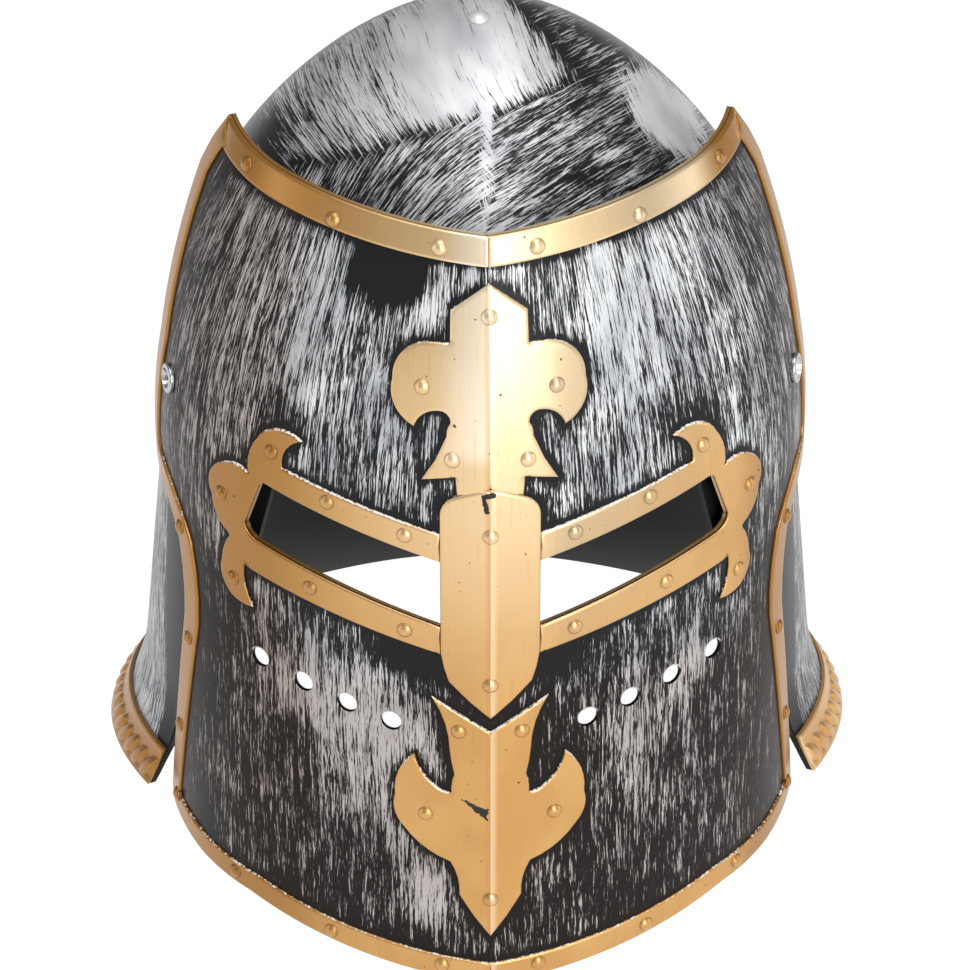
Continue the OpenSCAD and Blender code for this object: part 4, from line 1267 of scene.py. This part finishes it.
def make_crown_rivet():
    """The domed head near the tip, square on the ridge"""
    back = SKULL_BACK - CROWN_RIVET_AHEAD
    step = 0.001

    def ridge(ahead):
        w = ahead / (BROW_REACH * math.sqrt(1 + 2 * RIDGE_TOP))
        return WAIST_Z + (CROWN_TOP - WAIST_Z) * math.sqrt(1 - (w / SKULL_HALF_W) ** 1.5)
    tilt = math.atan((ridge(CROWN_RIVET_AHEAD - step) - ridge(CROWN_RIVET_AHEAD + step)) / (2 * step))
    up = Vector((0, -math.sin(tilt), math.cos(tilt)))
    along = Vector((0, math.cos(tilt), math.sin(tilt)))
    foot = Vector((0, back + PIVOT_Y, ridge(CROWN_RIVET_AHEAD)))
    across = Vector((1, 0, 0))
    rows = [(CROWN_RIVET_D / 2, 0.00005)]
    rows += dome_rows(CROWN_RIVET_D, CROWN_RIVET_H, [k / 8 for k in (7.7, 7, 6, 5, 4, 3, 2, 1)])
    sides = 32
    turns = [math.tau * k / sides for k in range(sides)]
    verts = [tuple(foot + across * (r * math.cos(t)) + along * (r * math.sin(t)) + up * h)
             for r, h in rows for t in turns]
    verts += [tuple(foot + up * (CROWN_RIVET_H - 0.00002)), tuple(foot + up * 0.00005)]
    x, v, _ = picture_plane(np.array(verts))
    flow = np.stack([x, v, 0 * x], 1)
    obj = make_object("crown_rivet_painted", verts, dome_faces(0, len(rows), sides), {
        "flow_a": flow, "flow_b": flow, "cover_a": 0 * x + 0.9, "cover_b": 0 * x - 2,
        "warm": 0 * x + 0.2, "near": 0 * x + 1, "facing_up": 0 * x}, sharp=60)
    give(obj, "skull", "skull_shell", [brushed], "crown_rivet")


make_crown_rivet()

for node, angles, low, high, channels in (
        ("brow_pad", (-30, 30), 0.241, 0.27, 5), ("nape_pad", (140, 220), 0.085, 0.135, 7)):
    pad = curved_pad(f"{node}_cushion", angles, low, high, 0.008, channels)
    give(pad, "skull", "padding", [cloth], node)
cushion = crown_cushion("crown_pad_cushion")
give(cushion, "skull", "padding", [cloth], "crown_pad")

for name, node in frame["nodes"].items():
    if name.startswith(("pivot_", "pin_")):
        node.data.materials.clear()
        node.data.materials.append(bronze if name.startswith("pivot_pin") else steel)


# Stage: white floor, soft lamps and the camera
AMBIENT = 0.3
FLOOR_HALF, FLOOR_DROP = 6, 0.0002


def add_camera():
    a, e = VIEW_AZIMUTH, VIEW_ELEVATION
    back = Vector((math.sin(a) * math.cos(e), -math.cos(a) * math.cos(e), math.sin(e)))
    data = bpy.data.cameras.new("view")
    data.lens = LENS_MM
    data.sensor_width = SENSOR_MM
    cam = add_to_scene("view", data)
    cam.location = VIEW_TARGET + back * VIEW_DISTANCE
    cam.rotation_mode = "XYZ"
    cam.rotation_euler = (math.pi / 2 - e - VIEW_TILT, 0, a - VIEW_PAN)
    bpy.context.scene.camera = cam


def seen(tree, *rays):
    """1 for rays of these kinds and 0 for others"""
    kinds = [add_node(tree, "LightPath", output=f"Is {ray} Ray") for ray in rays]
    total = kinds[0]
    for kind in kinds[1:]:
        total = total.either(kind)
    return total


def white_floor():
    """A floor that glows white where it is seen, and lights the helmet as plain pale paper would"""
    f = Finish("white_floor")
    paper = f.node("BsdfDiffuse", [("Color", (0.8, 0.8, 0.8, 1))])
    shaded = f.node("BsdfDiffuse", [("Color", (0.12, 0.12, 0.12, 1))])
    glowing = f.node("AddShader", [(0, shaded), (1, f.node("Emission", [("Strength", 1)]))])
    factor = seen(f.tree, "Camera", "Glossy", "Transmission")
    mixed = f.node("MixShader", enumerate((factor, paper, glowing)))
    f.tree.nodes.remove(f.shader)
    put(f.tree, f.tree.nodes["Material Output"].inputs["Surface"], mixed)
    return f.material


def add_floor():
    corners = ((-1, -1), (1, -1), (1, 1), (-1, 1))
    mesh = bpy.data.meshes.new("floor")
    mesh.from_pydata([(x * FLOOR_HALF, y * FLOOR_HALF, -FLOOR_DROP) for x, y in corners], [], [(0, 1, 2, 3)])
    mesh.materials.append(white_floor())
    add_to_scene("floor", mesh)


def add_world():
    """White where it is seen, and dimmer as a light"""
    world = bpy.data.worlds.new("studio")
    world.use_nodes = True
    bpy.context.scene.world = world
    tree = world.node_tree
    shade = tree.nodes["Background"]
    shade.inputs["Color"].default_value = (1, 1, 1, 1)
    put(tree, shade.inputs["Strength"], seen(tree, "Camera", "Transmission") * (1 - AMBIENT) + AMBIENT)


def add_lamp(name, place, aim, size, power):
    data = bpy.data.lights.new(name, "AREA")
    data.shape = "RECTANGLE"
    data.size, data.size_y = size
    data.energy = power
    obj = add_to_scene(name, data)
    obj.location = place
    obj.rotation_mode = "QUATERNION"
    obj.rotation_quaternion = (Vector(aim) - Vector(place)).to_track_quat("-Z", "Y")


add_camera()
add_floor()
add_world()
add_lamp("front_softbox", (0.55, -1.75, 1.25), (0, -0.05, 0.18), (0.8, 0.8), 18)
add_lamp("low_softbox", (0.5, -1.7, 0.35), (0, -0.05, 0.2), (0.9, 0.5), 9)
add_lamp("top_softbox", (0.1, -0.3, 1.9), (0, -0.02, 0.2), (1.2, 1.2), 16)
add_lamp("left_strip", (-1.6, -0.4, 0.6), (0, 0, 0.16), (0.3, 1.2), 3)
add_lamp("right_strip", (1.6, -0.3, 0.6), (0, 0, 0.16), (0.3, 1.2), 4)
bpy.context.scene.view_settings.view_transform = "Standard"
